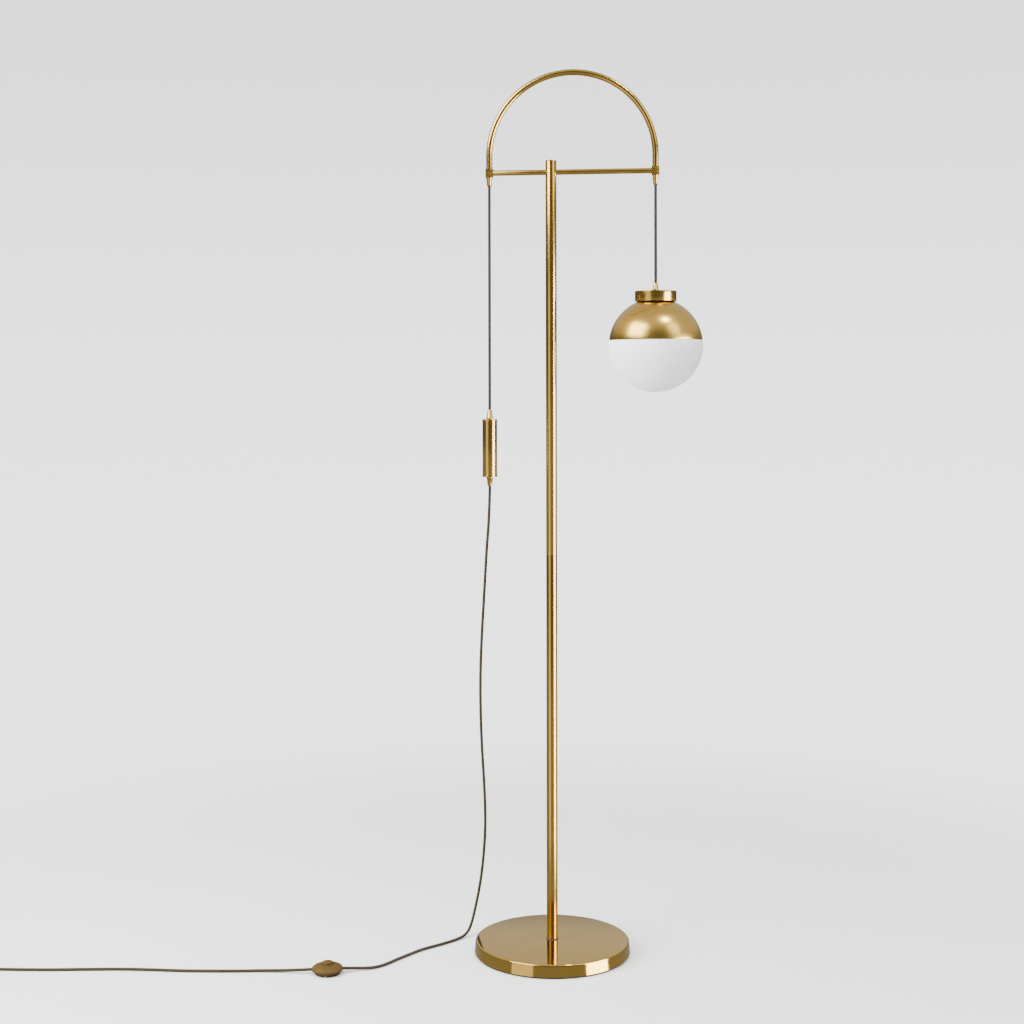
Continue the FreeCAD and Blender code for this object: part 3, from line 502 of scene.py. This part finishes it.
def cord_tube(name, route, diameter, braid=0.0021):
    """A braided tube along a smooth route; returns the piece and the points it follows."""
    guide = spline_object(name + "_guide", route)
    line = bpy.data.meshes.new_from_object(guide)
    path = [vertex.co.copy() for vertex in line.vertices]
    length = sum((b - a).length for a, b in zip(path, path[1:]))
    guide.data.bevel_depth = diameter / 2
    guide.data.bevel_resolution = 4
    guide.data.use_fill_caps = True
    mesh = bpy.data.meshes.new_from_object(guide)
    mesh.name = name
    bpy.data.objects.remove(guide)
    bpy.data.meshes.remove(line)
    for face in mesh.polygons:
        face.use_smooth = True
    mesh.set_sharp_from_angle(angle=math.radians(60))
    mesh.materials.clear()
    mesh.materials.append(cord_material(name + "_braid", round(length / braid)))
    piece = bpy.data.objects.new(name, mesh)
    bpy.context.scene.collection.objects.link(piece)
    return piece, path, length


# ---------------------------------------------------------------- operators


class LAMP_OT_camera(bpy.types.Operator):
    """Set the camera at standing height, a little to the right of the lamp"""

    bl_idname = "lamp.camera"
    bl_label = "Camera"

    def execute(self, context):
        data = bpy.data.cameras.new("view_camera")
        data.sensor_width = 36.0
        data.lens = 58.104
        data.shift_y = -0.12
        data.clip_end = 100.0
        camera = bpy.data.objects.new("view_camera", data)
        context.scene.collection.objects.link(camera)
        turn = Matrix.Rotation(math.radians(6.567), 4, "Z")
        tilt = Matrix.Rotation(math.radians(90.0 - 0.129), 4, "X")
        roll = Matrix.Rotation(math.radians(-0.1), 4, "Z")
        place = Matrix.Translation((0.2713, -2.9792, 1.0260))
        camera.matrix_world = place @ turn @ tilt @ roll
        context.scene.camera = camera
        return {"FINISHED"}


def coil_route(centre, diameter):
    """Neat turns: a lower layer wound inwards, then an upper one outwards."""
    rows = [0.0383, 0.0329, 0.0275, 0.0221, 0.0248, 0.0302, 0.0356, 0.0366]
    lower = 4
    steps = 18
    low = 0.0028
    high = low + diameter * 0.86
    points = []
    for number in range(1, round((len(rows) - 0.79) * steps) + 1):
        turn = number / steps
        index = int(turn)
        row = rows[min(index, len(rows) - 1)]
        after = rows[min(index + 1, len(rows) - 1)]
        blend = min(1.0, max(0.0, (turn - index - 0.5) / 0.5))
        height = low if index < lower else high
        if index == lower - 1:
            height = low + (high - low) * blend
        radius = row + (after - row) * blend
        angle = -math.pi / 2 - 2 * math.pi * turn
        points.append((centre[0] + radius * math.cos(angle),
                       centre[1] + radius * math.sin(angle), height))
    return points


class LAMP_OT_cords(bpy.types.Operator):
    """Hang and lay the braided cord along its route"""

    bl_idname = "lamp.cords"
    bl_label = "Cords"

    def execute(self, context):
        diameter = sizes().cord_diameter
        self.pendant_cord(diameter)
        self.upper_cord(diameter)
        self.drop_cord(diameter)
        self.lead_cord(diameter)
        return {"FINISHED"}

    def straight(self, name, x, low, high, diameter, count):
        route = [(x, 0.0, high + (low - high) * number / count) for number in range(count + 1)]
        return cord_tube(name, route, diameter)

    def pendant_cord(self, diameter):
        low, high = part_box("pendant_cord")
        x = (low.x + high.x) / 2
        piece, path, length = self.straight("pendant_cord_braided", x, low.z, high.z, diameter, 6)
        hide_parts("pendant_cord")
        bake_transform(piece)

    def upper_cord(self, diameter):
        low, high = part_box("cord_upper_left")
        x = (low.x + high.x) / 2
        piece, path, length = self.straight("cord_upper_braided", x, low.z, high.z, diameter, 8)
        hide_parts("cord_upper_left")
        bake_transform(piece)

    def drop_cord(self, diameter):
        piece, path, length = cord_tube("cord_drop_braided", DROP_ROUTE, diameter)
        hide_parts("cord_drop")
        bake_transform(piece)

    def lead_cord(self, diameter):
        centre = middle("cord_coil")
        route = LEAD_ROUTE + coil_route(centre, diameter) + TAIL_ROUTE
        piece, path, length = cord_tube("cord_lead_braided", route, diameter)
        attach(piece, "stand")
        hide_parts("cord_lead", "cord_coil", "cord_tail")


class LAMP_OT_base(bpy.types.Operator):
    """Turn the round base's cover with its rounded edge"""

    bl_idname = "lamp.base"
    bl_label = "Base"

    def execute(self, context):
        low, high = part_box("base_cover")
        outer = min(high.x - low.x, high.y - low.y) / 2
        draft = 1.8 * MM
        wall = 1.5 * MM
        edge = 3.2 * MM
        bore = 5.0 * MM
        top_radius = outer - draft
        outline = [(bore, high.z)]
        outline += [(top_radius - edge + r, z) for r, z in arc(0, high.z - edge, edge, 90, 0, 8)]
        outline += [(outer, low.z + 0.0004), (outer - 0.0004, low.z), (outer - wall, low.z),
                    (top_radius - wall, high.z - edge), (top_radius - edge, high.z - wall),
                    (bore, high.z - wall)]
        bm = lathe(outline, (0, 0), radius=0, steps=192)
        add_piece("base_plate", bm, "plate", "stand", "base_cover", sharp=50)
        return {"FINISHED"}


class LAMP_OT_pole(bpy.types.Operator):
    """Turn the two pole tubes and the cap"""

    bl_idname = "lamp.pole"
    bl_label = "Pole"

    def execute(self, context):
        wall = 1.5 * MM
        for node, name in (("pole_lower", "pole_tube_lower"), ("pole_upper", "pole_tube_upper")):
            low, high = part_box(node)
            radius = (high.x - low.x) / 2
            outline = [(radius - wall, low.z), (radius, low.z), (radius, high.z),
                       (radius - wall, high.z)]
            bm = lathe(outline, (0, 0), radius=0.0003)
            add_piece(name, bm, "polished", "stand", node)
        low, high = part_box("pole_cap")
        radius = (high.x - low.x) / 2
        seat = high.z - 2.0 * MM
        outline = [(0, low.z), (radius - wall, low.z), (radius - wall, seat), (radius, seat),
                   (radius, high.z), (0, high.z)]
        bm = lathe(outline, (0, 0), radius=0.0007, closed=False)
        add_piece("pole_end_cap", bm, "polished", "stand", "pole_cap")
        return {"FINISHED"}


def knurled_hub(name, node, steps, rows):
    """A turned hub with crossed diagonal grooves between two plain rims."""
    low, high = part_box(node)
    centre = (low + high) / 2
    radius = (high.x - low.x) / 2
    rim = 1.6 * MM
    bore = 3.0 * MM
    heights = [low.z + rim + (high.z - low.z - 2 * rim) * row / rows for row in range(rows + 1)]
    outline = [(bore, low.z), (radius - 0.0005, low.z), (radius, low.z + 0.0005)]
    outline += [(radius, height) for height in heights]
    outline += [(radius, high.z - 0.0005), (radius - 0.0005, high.z), (bore, high.z)]
    bm = lathe(outline, centre, radius=0, steps=steps)
    teeth = sizes().knurl_teeth
    depth = sizes().knurl_depth
    pitch = 2 * math.pi * radius / teeth
    plain = 0.2 * MM
    for vert in bm.verts:
        offset = Vector((vert.co.x - centre.x, vert.co.y - centre.y))
        inside = heights[0] + plain < vert.co.z < heights[-1] - plain
        if offset.length < radius - plain or not inside:
            continue
        around = math.atan2(offset.y, offset.x) * teeth
        up = (vert.co.z - low.z) / pitch * 2 * math.pi
        groove = max(abs(math.cos((around + up) / 2)), abs(math.cos((around - up) / 2)))
        cut = depth * max(0.0, groove - 0.55) / 0.45
        offset = offset * ((offset.length - cut) / offset.length)
        vert.co.x = centre.x + offset.x
        vert.co.y = centre.y + offset.y
    add_piece(name, bm, "knurled", "stand", node, sharp=60)


class LAMP_OT_arch(bpy.types.Operator):
    """Bend the arch tube and turn the crossbar, hubs and grips"""

    bl_idname = "lamp.arch"
    bl_label = "Arch"

    def execute(self, context):
        self.arch_tube()
        self.crossbar()
        knurled_hub("hub_knurled_left", "hub_left", 240, 40)
        knurled_hub("hub_knurled_right", "hub_right", 240, 40)
        for side in ("left", "right"):
            self.grip(side)
        return {"FINISHED"}

    def arch_tube(self):
        low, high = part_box("arch_tube")
        radius = (high.y - low.y) / 2
        left = low.x + radius
        right = high.x - radius
        centre_x = (left + right) / 2
        span = (right - left) / 2
        centre_z = high.z - radius - span
        wall = 1.0 * MM
        bm = bmesh.new()
        for ring in (radius, radius - wall):
            made = bmesh.ops.create_circle(bm, cap_ends=False, radius=ring, segments=40,
                                           matrix=Matrix.Translation((left, 0, low.z)))
            edges = {edge for vert in made["verts"] for edge in vert.link_edges}
            grown = bmesh.ops.extrude_edge_only(bm, edges=list(edges))
            rim = [item for item in grown["geom"] if isinstance(item, bmesh.types.BMVert)]
            bmesh.ops.translate(bm, verts=rim, vec=(0, 0, centre_z - low.z))
            edges = [item for item in grown["geom"] if isinstance(item, bmesh.types.BMEdge)]
            turned = bmesh.ops.spin(bm, geom=rim + edges, axis=(0, 1, 0), angle=math.pi,
                                    cent=(centre_x, 0, centre_z), steps=120)
            edges = [item for item in turned["geom_last"] if isinstance(item, bmesh.types.BMEdge)]
            grown = bmesh.ops.extrude_edge_only(bm, edges=edges)
            rim = [item for item in grown["geom"] if isinstance(item, bmesh.types.BMVert)]
            bmesh.ops.translate(bm, verts=rim, vec=(0, 0, low.z - centre_z))
        open_edges = [edge for edge in bm.edges if edge.is_boundary]
        for x in (left, right):
            ends = [edge for edge in open_edges if abs(edge.verts[0].co.x - x) < 2 * radius]
            bmesh.ops.bridge_loops(bm, edges=ends)
        bmesh.ops.recalc_face_normals(bm, faces=bm.faces)
        add_piece("arch_bent_tube", bm, "polished", "stand", "arch_tube", sharp=50)

    def crossbar(self):
        low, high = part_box("crossbar")
        radius = (high.z - low.z) / 2
        inset = 0.6 * MM
        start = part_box("hub_left")[1].x - inset
        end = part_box("hub_right")[0].x + inset
        outline = [(0, start), (radius, start), (radius, end), (0, end)]
        bm = lathe(outline, (0, 0), radius=0.0003, closed=False, steps=64)
        bmesh.ops.rotate(bm, verts=bm.verts, cent=(0, 0, 0),
                         matrix=Matrix.Rotation(math.pi / 2, 3, "Y"))
        bmesh.ops.translate(bm, verts=bm.verts, vec=(0, 0, (low.z + high.z) / 2))
        add_piece("crossbar_rod", bm, "polished", "stand", "crossbar")

    def grip(self, side):
        node = "arch_grip_" + side
        low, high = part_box(node)
        centre = (low + high) / 2
        wide = (high.x - low.x) / 2
        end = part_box("arch_grip_left")[0].z
        hub_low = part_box("hub_" + side)[0].z
        tip = 4.4 * MM
        bore = 3.0 * MM
        outline = [(bore, end)]
        outline += arc(tip - 0.0012, end + 0.0012, 0.0012, -90, 0, 5)
        outline += [(wide - 0.0004, hub_low - 0.0026), (wide, hub_low - 0.0021),
                    (wide, hub_low), (bore, hub_low)]
        bm = lathe(outline, centre, radius=0, steps=64)
        add_piece("arch_cord_grip_" + side, bm, "satin", "stand", node, sharp=40)


def tapered_grip(name, node, body, wide_at_top):
    """A turned cord grip: plain collar at its wide end, taper, rounded tip."""
    low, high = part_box(node)
    centre = (low + high) / 2
    wide = (high.x - low.x) / 2
    narrow = wide * 0.66
    length = high.z - low.z
    bore = sizes().cord_diameter / 2 - 0.0001
    profile = [(bore, 0), (wide, 0), (wide, 0.0020), (wide - 0.0006, 0.0026)]
    profile += [(narrow + 0.0001, length - 0.0016)]
    profile += arc(narrow - 0.0014, length - 0.0014, 0.0014, 0, 90, 5)
    profile += [(bore, length)]
    if wide_at_top:
        outline = [(r, high.z - z) for r, z in profile]
    else:
        outline = [(r, low.z + z) for r, z in profile]
    bm = lathe(outline, centre, radius=0, steps=64)
    add_piece(name, bm, "satin", body, node, sharp=40)


class LAMP_OT_counterweight(bpy.types.Operator):
    """Turn the counterweight's tube, end caps and grips"""

    bl_idname = "lamp.counterweight"
    bl_label = "Counterweight"

    def execute(self, context):
        low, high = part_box("counterweight_tube")
        centre = (low + high) / 2
        radius = (high.x - low.x) / 2
        inner = radius - 1.5 * MM
        outline = [(inner, low.z), (radius, low.z), (radius, high.z), (inner, high.z)]
        bm = lathe(outline, centre, radius=0.0002)
        add_piece("counterweight_sleeve", bm, "polished", "counterweight",
                  "counterweight_tube")
        for side in ("top", "bottom"):
            node = "counterweight_cap_" + side
            low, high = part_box(node)
            lip = (high.x - low.x) / 2
            outline = [(0.003, low.z), (lip, low.z), (lip, high.z), (0.003, high.z)]
            bm = lathe(outline, centre, radius=0.0005)
            add_piece("counterweight_end_" + side, bm, "polished", "counterweight", node)
            tapered_grip("counterweight_cord_grip_" + side, "counterweight_grip_" + side,
                         "counterweight", side == "bottom")
        return {"FINISHED"}


class LAMP_OT_pendant(bpy.types.Operator):
    """Turn the pendant's grip, cap, dome and opal glass"""

    bl_idname = "lamp.pendant"
    bl_label = "Pendant"

    def execute(self, context):
        tapered_grip("shade_cord_grip", "shade_grip", "pendant", False)
        self.cap()
        self.dome()
        self.glass()
        return {"FINISHED"}

    def cap(self):
        low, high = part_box("shade_cap")
        centre = (low + high) / 2
        radius = (high.x - low.x) / 2
        wall = 1.5 * MM
        bore = 5.0 * MM
        outline = [(bore, high.z - wall), (bore, high.z), (radius, high.z), (radius, low.z),
                   (radius - wall, low.z), (radius - wall, high.z - wall)]
        bm = lathe(outline, centre, radius=0.0006, steps=160)
        add_piece("shade_top_cap", bm, "polished", "pendant", "shade_cap")

    def sphere(self):
        """Centre and radius of the ball that the dome and the glass share."""
        low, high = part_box("opal_glass")
        radius = (high.x - low.x) / 2
        return (low + high) / 2, radius, low.z + radius

    def dome(self):
        centre, radius, centre_z = self.sphere()
        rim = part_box("shade_dome")[0].z
        wall = sizes().dome_wall
        inner = radius - wall
        bore = 5.0 * MM
        start = math.degrees(math.asin((rim - centre_z) / radius))
        top = math.degrees(math.acos(bore / radius))
        outline = arc(0, centre_z, radius, start, top, 60)
        start_in = math.degrees(math.asin((rim - centre_z) / inner))
        outline += arc(0, centre_z, inner, math.degrees(math.acos(bore / inner)), start_in, 60)
        bm = lathe(outline, centre, radius=0.0003, steps=192)
        add_piece("shade_spun_dome", bm, "satin", "pendant", "shade_dome", sharp=40)

    def glass(self):
        centre, radius, centre_z = self.sphere()
        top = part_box("opal_glass")[1].z
        wall = sizes().glass_wall
        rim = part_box("shade_dome")[0].z - 0.0004
        start = math.degrees(math.asin((rim - centre_z) / radius))
        gallery_top = rim + 12.4 * MM
        clearance = 3.1 * MM
        neck = math.sqrt((radius - sizes().dome_wall) ** 2 - (gallery_top - centre_z) ** 2)
        neck -= clearance
        outline = arc(0, centre_z, radius, -90, start, 72)
        outline += [(neck, rim), (neck, top), (neck - wall, top), (neck - wall, rim - wall)]
        inner = radius - wall
        inner_start = math.degrees(math.asin((rim - wall - centre_z) / inner))
        outline += arc(0, centre_z, inner, inner_start, -90, 72)
        bm = lathe(outline, centre, radius=0.0004, closed=False, steps=192)
        add_piece("opal_globe", bm, "opal", "globe", "opal_glass", sharp=40)


class LAMP_OT_foot_switch(bpy.types.Operator):
    """Mould the foot switch's two shells and button, and wind its spring"""

    bl_idname = "lamp.foot_switch"
    bl_label = "Foot switch"

    def execute(self, context):
        wall = 2.0 * MM
        self.base(wall)
        self.cover(wall)
        self.button()
        self.spring()
        return {"FINISHED"}

    def base(self, wall):
        low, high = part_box("switch_base")
        centre = (low + high) / 2
        radius = (high.x - low.x) / 2
        height = high.z - low.z
        outline = [(0, low.z), (radius - 0.0070, low.z), (radius - 0.0056, low.z + 0.0004)]
        outline += oval(radius, high.z, height, -58, 0, 8)
        outline += [(radius - wall, high.z), (radius - wall - 0.001, low.z + 0.0045),
                    (radius - 0.007, low.z + wall), (0, low.z + wall)]
        bm = lathe(outline, centre, radius=0, closed=False)
        add_piece("foot_switch_base", bm, "switch", "stand", "switch_base",
                  sharp=45)

    def cover(self, wall):
        """Domed, with a fine seam where it meets the base and a lip round the button."""
        low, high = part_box("switch_cover")
        centre = (low + high) / 2
        radius = (high.x - low.x) / 2
        height = high.z - low.z
        hole = middle_radius("switch_button") - 0.0008
        outline = [(radius - 0.0006, low.z), (radius - 0.0001, low.z + 0.0005)]
        outline += oval(radius, low.z + 0.0003, height + 0.0004, 5, 64, 14)
        outline += [(hole + 0.0010, high.z - 0.0001), (hole, high.z - 0.0007),
                    (hole, high.z - wall)]
        outline += oval(radius - wall, low.z + 0.0003, height - wall, 64, 5, 10)
        outline += [(radius - wall, low.z)]
        bm = lathe(outline, centre, radius=0)
        add_piece("foot_switch_cover", bm, "switch", "stand", "switch_cover",
                  sharp=45)

    def button(self):
        low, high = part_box("switch_button")
        centre = (low + high) / 2
        flange = middle_radius("switch_button")
        radius = flange - 1.2 * MM
        boss = 3.4 * MM
        step = low.z + 2.0 * MM
        outline = [(0, low.z), (boss, low.z), (boss, step), (flange, step),
                   (flange, step + 0.0012), (radius, step + 0.0012), (radius, high.z - 0.0024)]
        outline += oval(radius, high.z - 0.0024, 0.0022, 8, 72, 7)
        outline += [(0.003, high.z - 0.0001), (0, high.z)]
        bm = lathe(outline, centre, radius=0, closed=False)
        add_piece("foot_switch_button", bm, "switch", "button", "switch_button",
                  sharp=45)

    def spring(self):
        """A coil spring wound in the place of the frame's spring."""
        low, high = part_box("switch_spring")
        centre = (low + high) / 2
        wire = 0.3 * MM
        radius = middle_radius("switch_spring") - wire
        turns = 3.5
        count = 42
        route = []
        inset = 1.2 * wire
        for number in range(count + 1):
            angle = 2 * math.pi * turns * number / count
            level = low.z + inset + (high.z - low.z - 2 * inset) * number / count
            route.append((centre.x + radius * math.cos(angle),
                          centre.y + radius * math.sin(angle), level))
        guide = spline_object("foot_switch_spring_guide", route)
        guide.data.bevel_depth = wire
        guide.data.use_fill_caps = True
        coil = bpy.data.meshes.new_from_object(guide)
        bpy.data.objects.remove(guide)
        bm = bmesh.new()
        bm.from_mesh(coil)
        bpy.data.meshes.remove(coil)
        piece = write_piece("foot_switch_spring", bm, finish("steel"), 50)
        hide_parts("switch_spring")
        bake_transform(piece)


def rounded_box(low, high, radius, segments=4):
    bm = bmesh.new()
    bmesh.ops.create_cube(bm, size=1.0)
    size = high - low
    bmesh.ops.scale(bm, verts=bm.verts, vec=size)
    bmesh.ops.translate(bm, verts=bm.verts, vec=(low + high) / 2)
    bmesh.ops.bevel(bm, geom=bm.edges[:], offset=radius, offset_type="OFFSET", affect="EDGES",
                    segments=segments, profile=0.5, material=-1, clamp_overlap=True)
    return bm


class LAMP_OT_plug(bpy.types.Operator):
    """Mould the plug, its sleeve and pins, and tie the coil"""

    bl_idname = "lamp.plug"
    bl_label = "Plug"

    def execute(self, context):
        low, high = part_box("plug_body")
        bm = rounded_box(low, high, 0.004)
        middle_y = low.y + (high.y - low.y) * 0.45
        for vert in bm.verts:
            pull = max(0.0, (middle_y - vert.co.y) / (middle_y - low.y))
            vert.co.x += (middle("plug_body").x - vert.co.x) * 0.30 * pull
            vert.co.z += (middle("plug_body").z - vert.co.z) * 0.15 * pull
        add_piece("plug_moulding", bm, "black", "stand", "plug_body")
        self.pins()
        self.sleeve()
        self.tie()
        return {"FINISHED"}

    def along_y(self, outline, x, z):
        bm = lathe(outline, (0, 0), radius=0, closed=False, steps=40)
        bmesh.ops.rotate(bm, verts=bm.verts, cent=(0, 0, 0),
                         matrix=Matrix.Rotation(-math.pi / 2, 3, "X"))
        bmesh.ops.translate(bm, verts=bm.verts, vec=(x, 0, z))
        return bm

    def pins(self):
        low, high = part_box("plug_pins")
        radius = (high.z - low.z) / 2
        outline = [(0, low.y), (radius, low.y), (radius, high.y - radius)]
        outline += arc(0, high.y - radius, radius, 0, 90, 6)
        both = bmesh.new()
        for x in (low.x + radius, high.x - radius):
            pin = bpy.data.meshes.new("pin")
            bm = self.along_y(outline, x, (low.z + high.z) / 2)
            bm.to_mesh(pin)
            bm.free()
            both.from_mesh(pin)
            bpy.data.meshes.remove(pin)
        add_piece("plug_contacts", both, "steel", "stand", "plug_pins")

    def sleeve(self):
        low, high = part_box("plug_relief")
        wide = (high.x - low.x) / 2
        narrow = 3.7 * MM
        rings = 6
        pitch = (high.y - low.y) / rings
        outline = [(0, low.y)]
        for ring in range(rings):
            start = low.y + ring * pitch
            radius = narrow + (wide - narrow) * (ring + 0.5) / rings
            outline += [(radius, start), (radius, start + pitch * 0.68),
                        (radius - 0.0008, start + pitch * 0.72),
                        (radius - 0.0008, start + pitch * 0.98)]
        outline += [(wide - 0.0004, high.y + 0.001), (0, high.y + 0.001)]
        bm = self.along_y(outline, (low.x + high.x) / 2, (low.z + high.z) / 2)
        add_piece("plug_sleeve", bm, "black", "stand", "plug_relief")

    def tie(self):
        low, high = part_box("cord_tie")
        bm = rounded_box(low, high, 0.0028)
        thickness = 1.0 * MM
        ends = [face for face in bm.faces if abs(face.normal.y) > 0.9]
        bmesh.ops.delete(bm, geom=ends, context="FACES")
        bmesh.ops.solidify(bm, geom=bm.faces[:], thickness=thickness)
        bmesh.ops.recalc_face_normals(bm, faces=bm.faces)
        add_piece("coil_tie", bm, "black", "stand", "cord_tie")


NODE_FINISHES = {
    "brass": "polished",
    "satin_brass": "satin",
    "knurled_brass": "knurled",
    "iron": "iron",
    "dark_rubber": "rubber",
    "steel": "steel",
    "black_plastic": "black",
    "nylon": "black",
    "ceramic": "ceramic",
    "opal_glass": "opal",
    "bulb_glass": "bulb",
    "gold_plastic": "switch",
}


class LAMP_OT_node_finishes(bpy.types.Operator):
    """Give every frame part that shows its finish"""

    bl_idname = "lamp.node_finishes"
    bl_label = "Frame finishes"

    def execute(self, context):
        slots = {part["node"]: part["material_slot"] for part in frame["record"]["subparts"]}
        for name, node in frame["nodes"].items():
            if slots[name] == "cord_fabric":
                material = finish("thread")
            else:
                material = finish(NODE_FINISHES[slots[name]])
            if not node.material_slots:
                node.data.materials.append(material)
            for holder in node.material_slots:
                holder.link = "OBJECT"
                holder.material = material
        return {"FINISHED"}


class LAMP_OT_stage(bpy.types.Operator):
    """Lay the pale floor and set the soft studio lights"""

    bl_idname = "lamp.stage"
    bl_label = "Stage"

    def execute(self, context):
        self.floor()
        self.world(context.scene)
        level = Vector((0.0, 0.0, 0.35))
        high = Vector((0.0, 0.0, 1.1))
        self.softbox("strip_right", (2.48, -0.78, 0.35), level, (1.7, 2.7), 14.0, "glossy")
        self.softbox("strip_left", (-1.60, -2.05, 0.35), level, (1.5, 2.7), 1.1, "glossy")
        self.softbox("high_left", (-1.75, -1.50, 2.75), high, (2.0, 1.5), 12.0, "glossy")
        self.softbox("high_right", (1.95, -1.25, 2.60), high, (1.0, 1.2), 3.5, "glossy")
        self.softbox("spot_above", (1.05, -0.95, 3.30), high, (0.35, 0.35), 60.0, "glossy")
        self.softbox("fill_left", (-2.5, -1.7, 1.6), high, (2.4, 2.4), 22.0, "diffuse")
        self.softbox("fill_right", (2.5, -1.7, 1.6), high, (2.4, 2.4), 5.5, "diffuse")
        self.softbox("fill_above", (0.0, -0.4, 3.4), (0.0, 0.0, 0.0), (3.6, 3.6), 6.0, "diffuse")
        return {"FINISHED"}

    def floor(self):
        bm = bmesh.new()
        bmesh.ops.create_circle(bm, cap_ends=True, segments=96, radius=7.0,
                                matrix=Matrix.Translation((0, 0, -0.0002)))
        mesh = bpy.data.meshes.new("studio_floor")
        bm.to_mesh(mesh)
        bm.free()
        mesh.materials.append(finish("floor"))
        floor = bpy.data.objects.new("studio_floor", mesh)
        bpy.context.scene.collection.objects.link(floor)
        floor.visible_glossy = False

    def world(self, scene):
        """Pale to the camera; to the lamp, a dim room with a bright ceiling."""
        world = bpy.data.worlds.new("studio")
        world.use_nodes = True
        tree = world.node_tree
        tree.nodes.clear()
        source = tree.nodes.new("ShaderNodeTexCoord")
        split = tree.nodes.new("ShaderNodeSeparateXYZ")
        tree.links.new(source.outputs["Generated"], split.inputs["Vector"])
        seen = self.sky(tree, split.outputs["Z"], ((-0.10, 2.80), (0.26, 1.95)))
        lean = tree.nodes.new("ShaderNodeMath")
        lean.operation = "MULTIPLY_ADD"
        tree.links.new(split.outputs["Y"], lean.inputs[0])
        lean.inputs[1].default_value = 0.65
        lean.inputs[2].default_value = 1.0
        level = tree.nodes.new("ShaderNodeMath")
        level.operation = "MULTIPLY"
        tree.links.new(split.outputs["Z"], level.inputs[0])
        tree.links.new(lean.outputs["Value"], level.inputs[1])
        lit = self.sky(tree, level.outputs["Value"],
                       ((-0.06, 0.38), (-0.013, 0.15), (0.17, 0.15), (0.52, 0.80)))
        ray = tree.nodes.new("ShaderNodeLightPath")
        mix = tree.nodes.new("ShaderNodeMixShader")
        out = tree.nodes.new("ShaderNodeOutputWorld")
        tree.links.new(ray.outputs["Is Camera Ray"], mix.inputs[0])
        tree.links.new(lit.outputs["Background"], mix.inputs[1])
        tree.links.new(seen.outputs["Background"], mix.inputs[2])
        tree.links.new(mix.outputs["Shader"], out.inputs["Surface"])
        scene.world = world

    def sky(self, tree, height, stops):
        """A background whose strength follows stops of (height, strength)."""
        strongest = 3.0
        back = tree.nodes.new("ShaderNodeBackground")
        back.inputs["Strength"].default_value = strongest
        share = tree.nodes.new("ShaderNodeMapRange")
        share.inputs["From Min"].default_value = -1.0
        tree.links.new(height, share.inputs["Value"])
        ramp = tree.nodes.new("ShaderNodeValToRGB")
        ramp.color_ramp.interpolation = "EASE"
        while len(ramp.color_ramp.elements) < len(stops):
            ramp.color_ramp.elements.new(0.5)
        for element, (place, strength) in zip(ramp.color_ramp.elements, stops):
            element.position = (place + 1.0) / 2.0
            element.color = (*[strength / strongest] * 3, 1.0)
        tree.links.new(share.outputs["Result"], ramp.inputs["Fac"])
        tree.links.new(ramp.outputs["Color"], back.inputs["Color"])
        return back

    def softbox(self, name, place, target, size, brightness, seen_by):
        """A panel of that brightness, which only shows in gloss or only lights matt surfaces."""
        light = bpy.data.lights.new(name, "AREA")
        light.shape = "RECTANGLE"
        light.size, light.size_y = size
        light.energy = brightness * math.pi * size[0] * size[1]
        panel = bpy.data.objects.new(name, light)
        bpy.context.scene.collection.objects.link(panel)
        panel.visible_camera = False
        panel.visible_glossy = seen_by == "glossy"
        panel.visible_diffuse = seen_by == "diffuse"
        aim = (Vector(target) - Vector(place)).to_track_quat("-Z", "Y").to_matrix().to_4x4()
        panel.matrix_world = Matrix.Translation(place) @ aim


OPERATORS = (
    LAMP_OT_camera,
    LAMP_OT_base,
    LAMP_OT_pole,
    LAMP_OT_arch,
    LAMP_OT_counterweight,
    LAMP_OT_pendant,
    LAMP_OT_foot_switch,
    LAMP_OT_plug,
    LAMP_OT_cords,
    LAMP_OT_node_finishes,
    LAMP_OT_stage,
)


class LAMP_PT_panel(bpy.types.Panel):
    """List the lamp's sizes, finishes and the steps that build it"""

    bl_idname = "LAMP_PT_panel"
    bl_label = "Arc Floor Lamp"
    bl_space_type = "VIEW_3D"
    bl_region_type = "UI"
    bl_category = "Lamp"

    def draw(self, context):
        for group in (context.scene.lamp_sizes, context.scene.lamp_finishes):
            column = self.layout.column()
            for name in group.bl_rna.properties.keys():
                if name not in ("rna_type", "name"):
                    column.prop(group, name)
        for operator in OPERATORS:
            self.layout.operator(operator.bl_idname)


CLASSES = (LampSizes, LampFinishes, *OPERATORS, LAMP_PT_panel)


def register():
    for item in CLASSES:
        bpy.utils.register_class(item)
    bpy.types.Scene.lamp_sizes = PointerProperty(type=LampSizes)
    bpy.types.Scene.lamp_finishes = PointerProperty(type=LampFinishes)


def unregister():
    del bpy.types.Scene.lamp_finishes
    del bpy.types.Scene.lamp_sizes
    for item in reversed(CLASSES):
        bpy.utils.unregister_class(item)


def main():
    register()
    for operator in OPERATORS:
        group, action = operator.bl_idname.split(".")
        getattr(getattr(bpy.ops, group), action)()


if __name__ == "__main__":
    main()
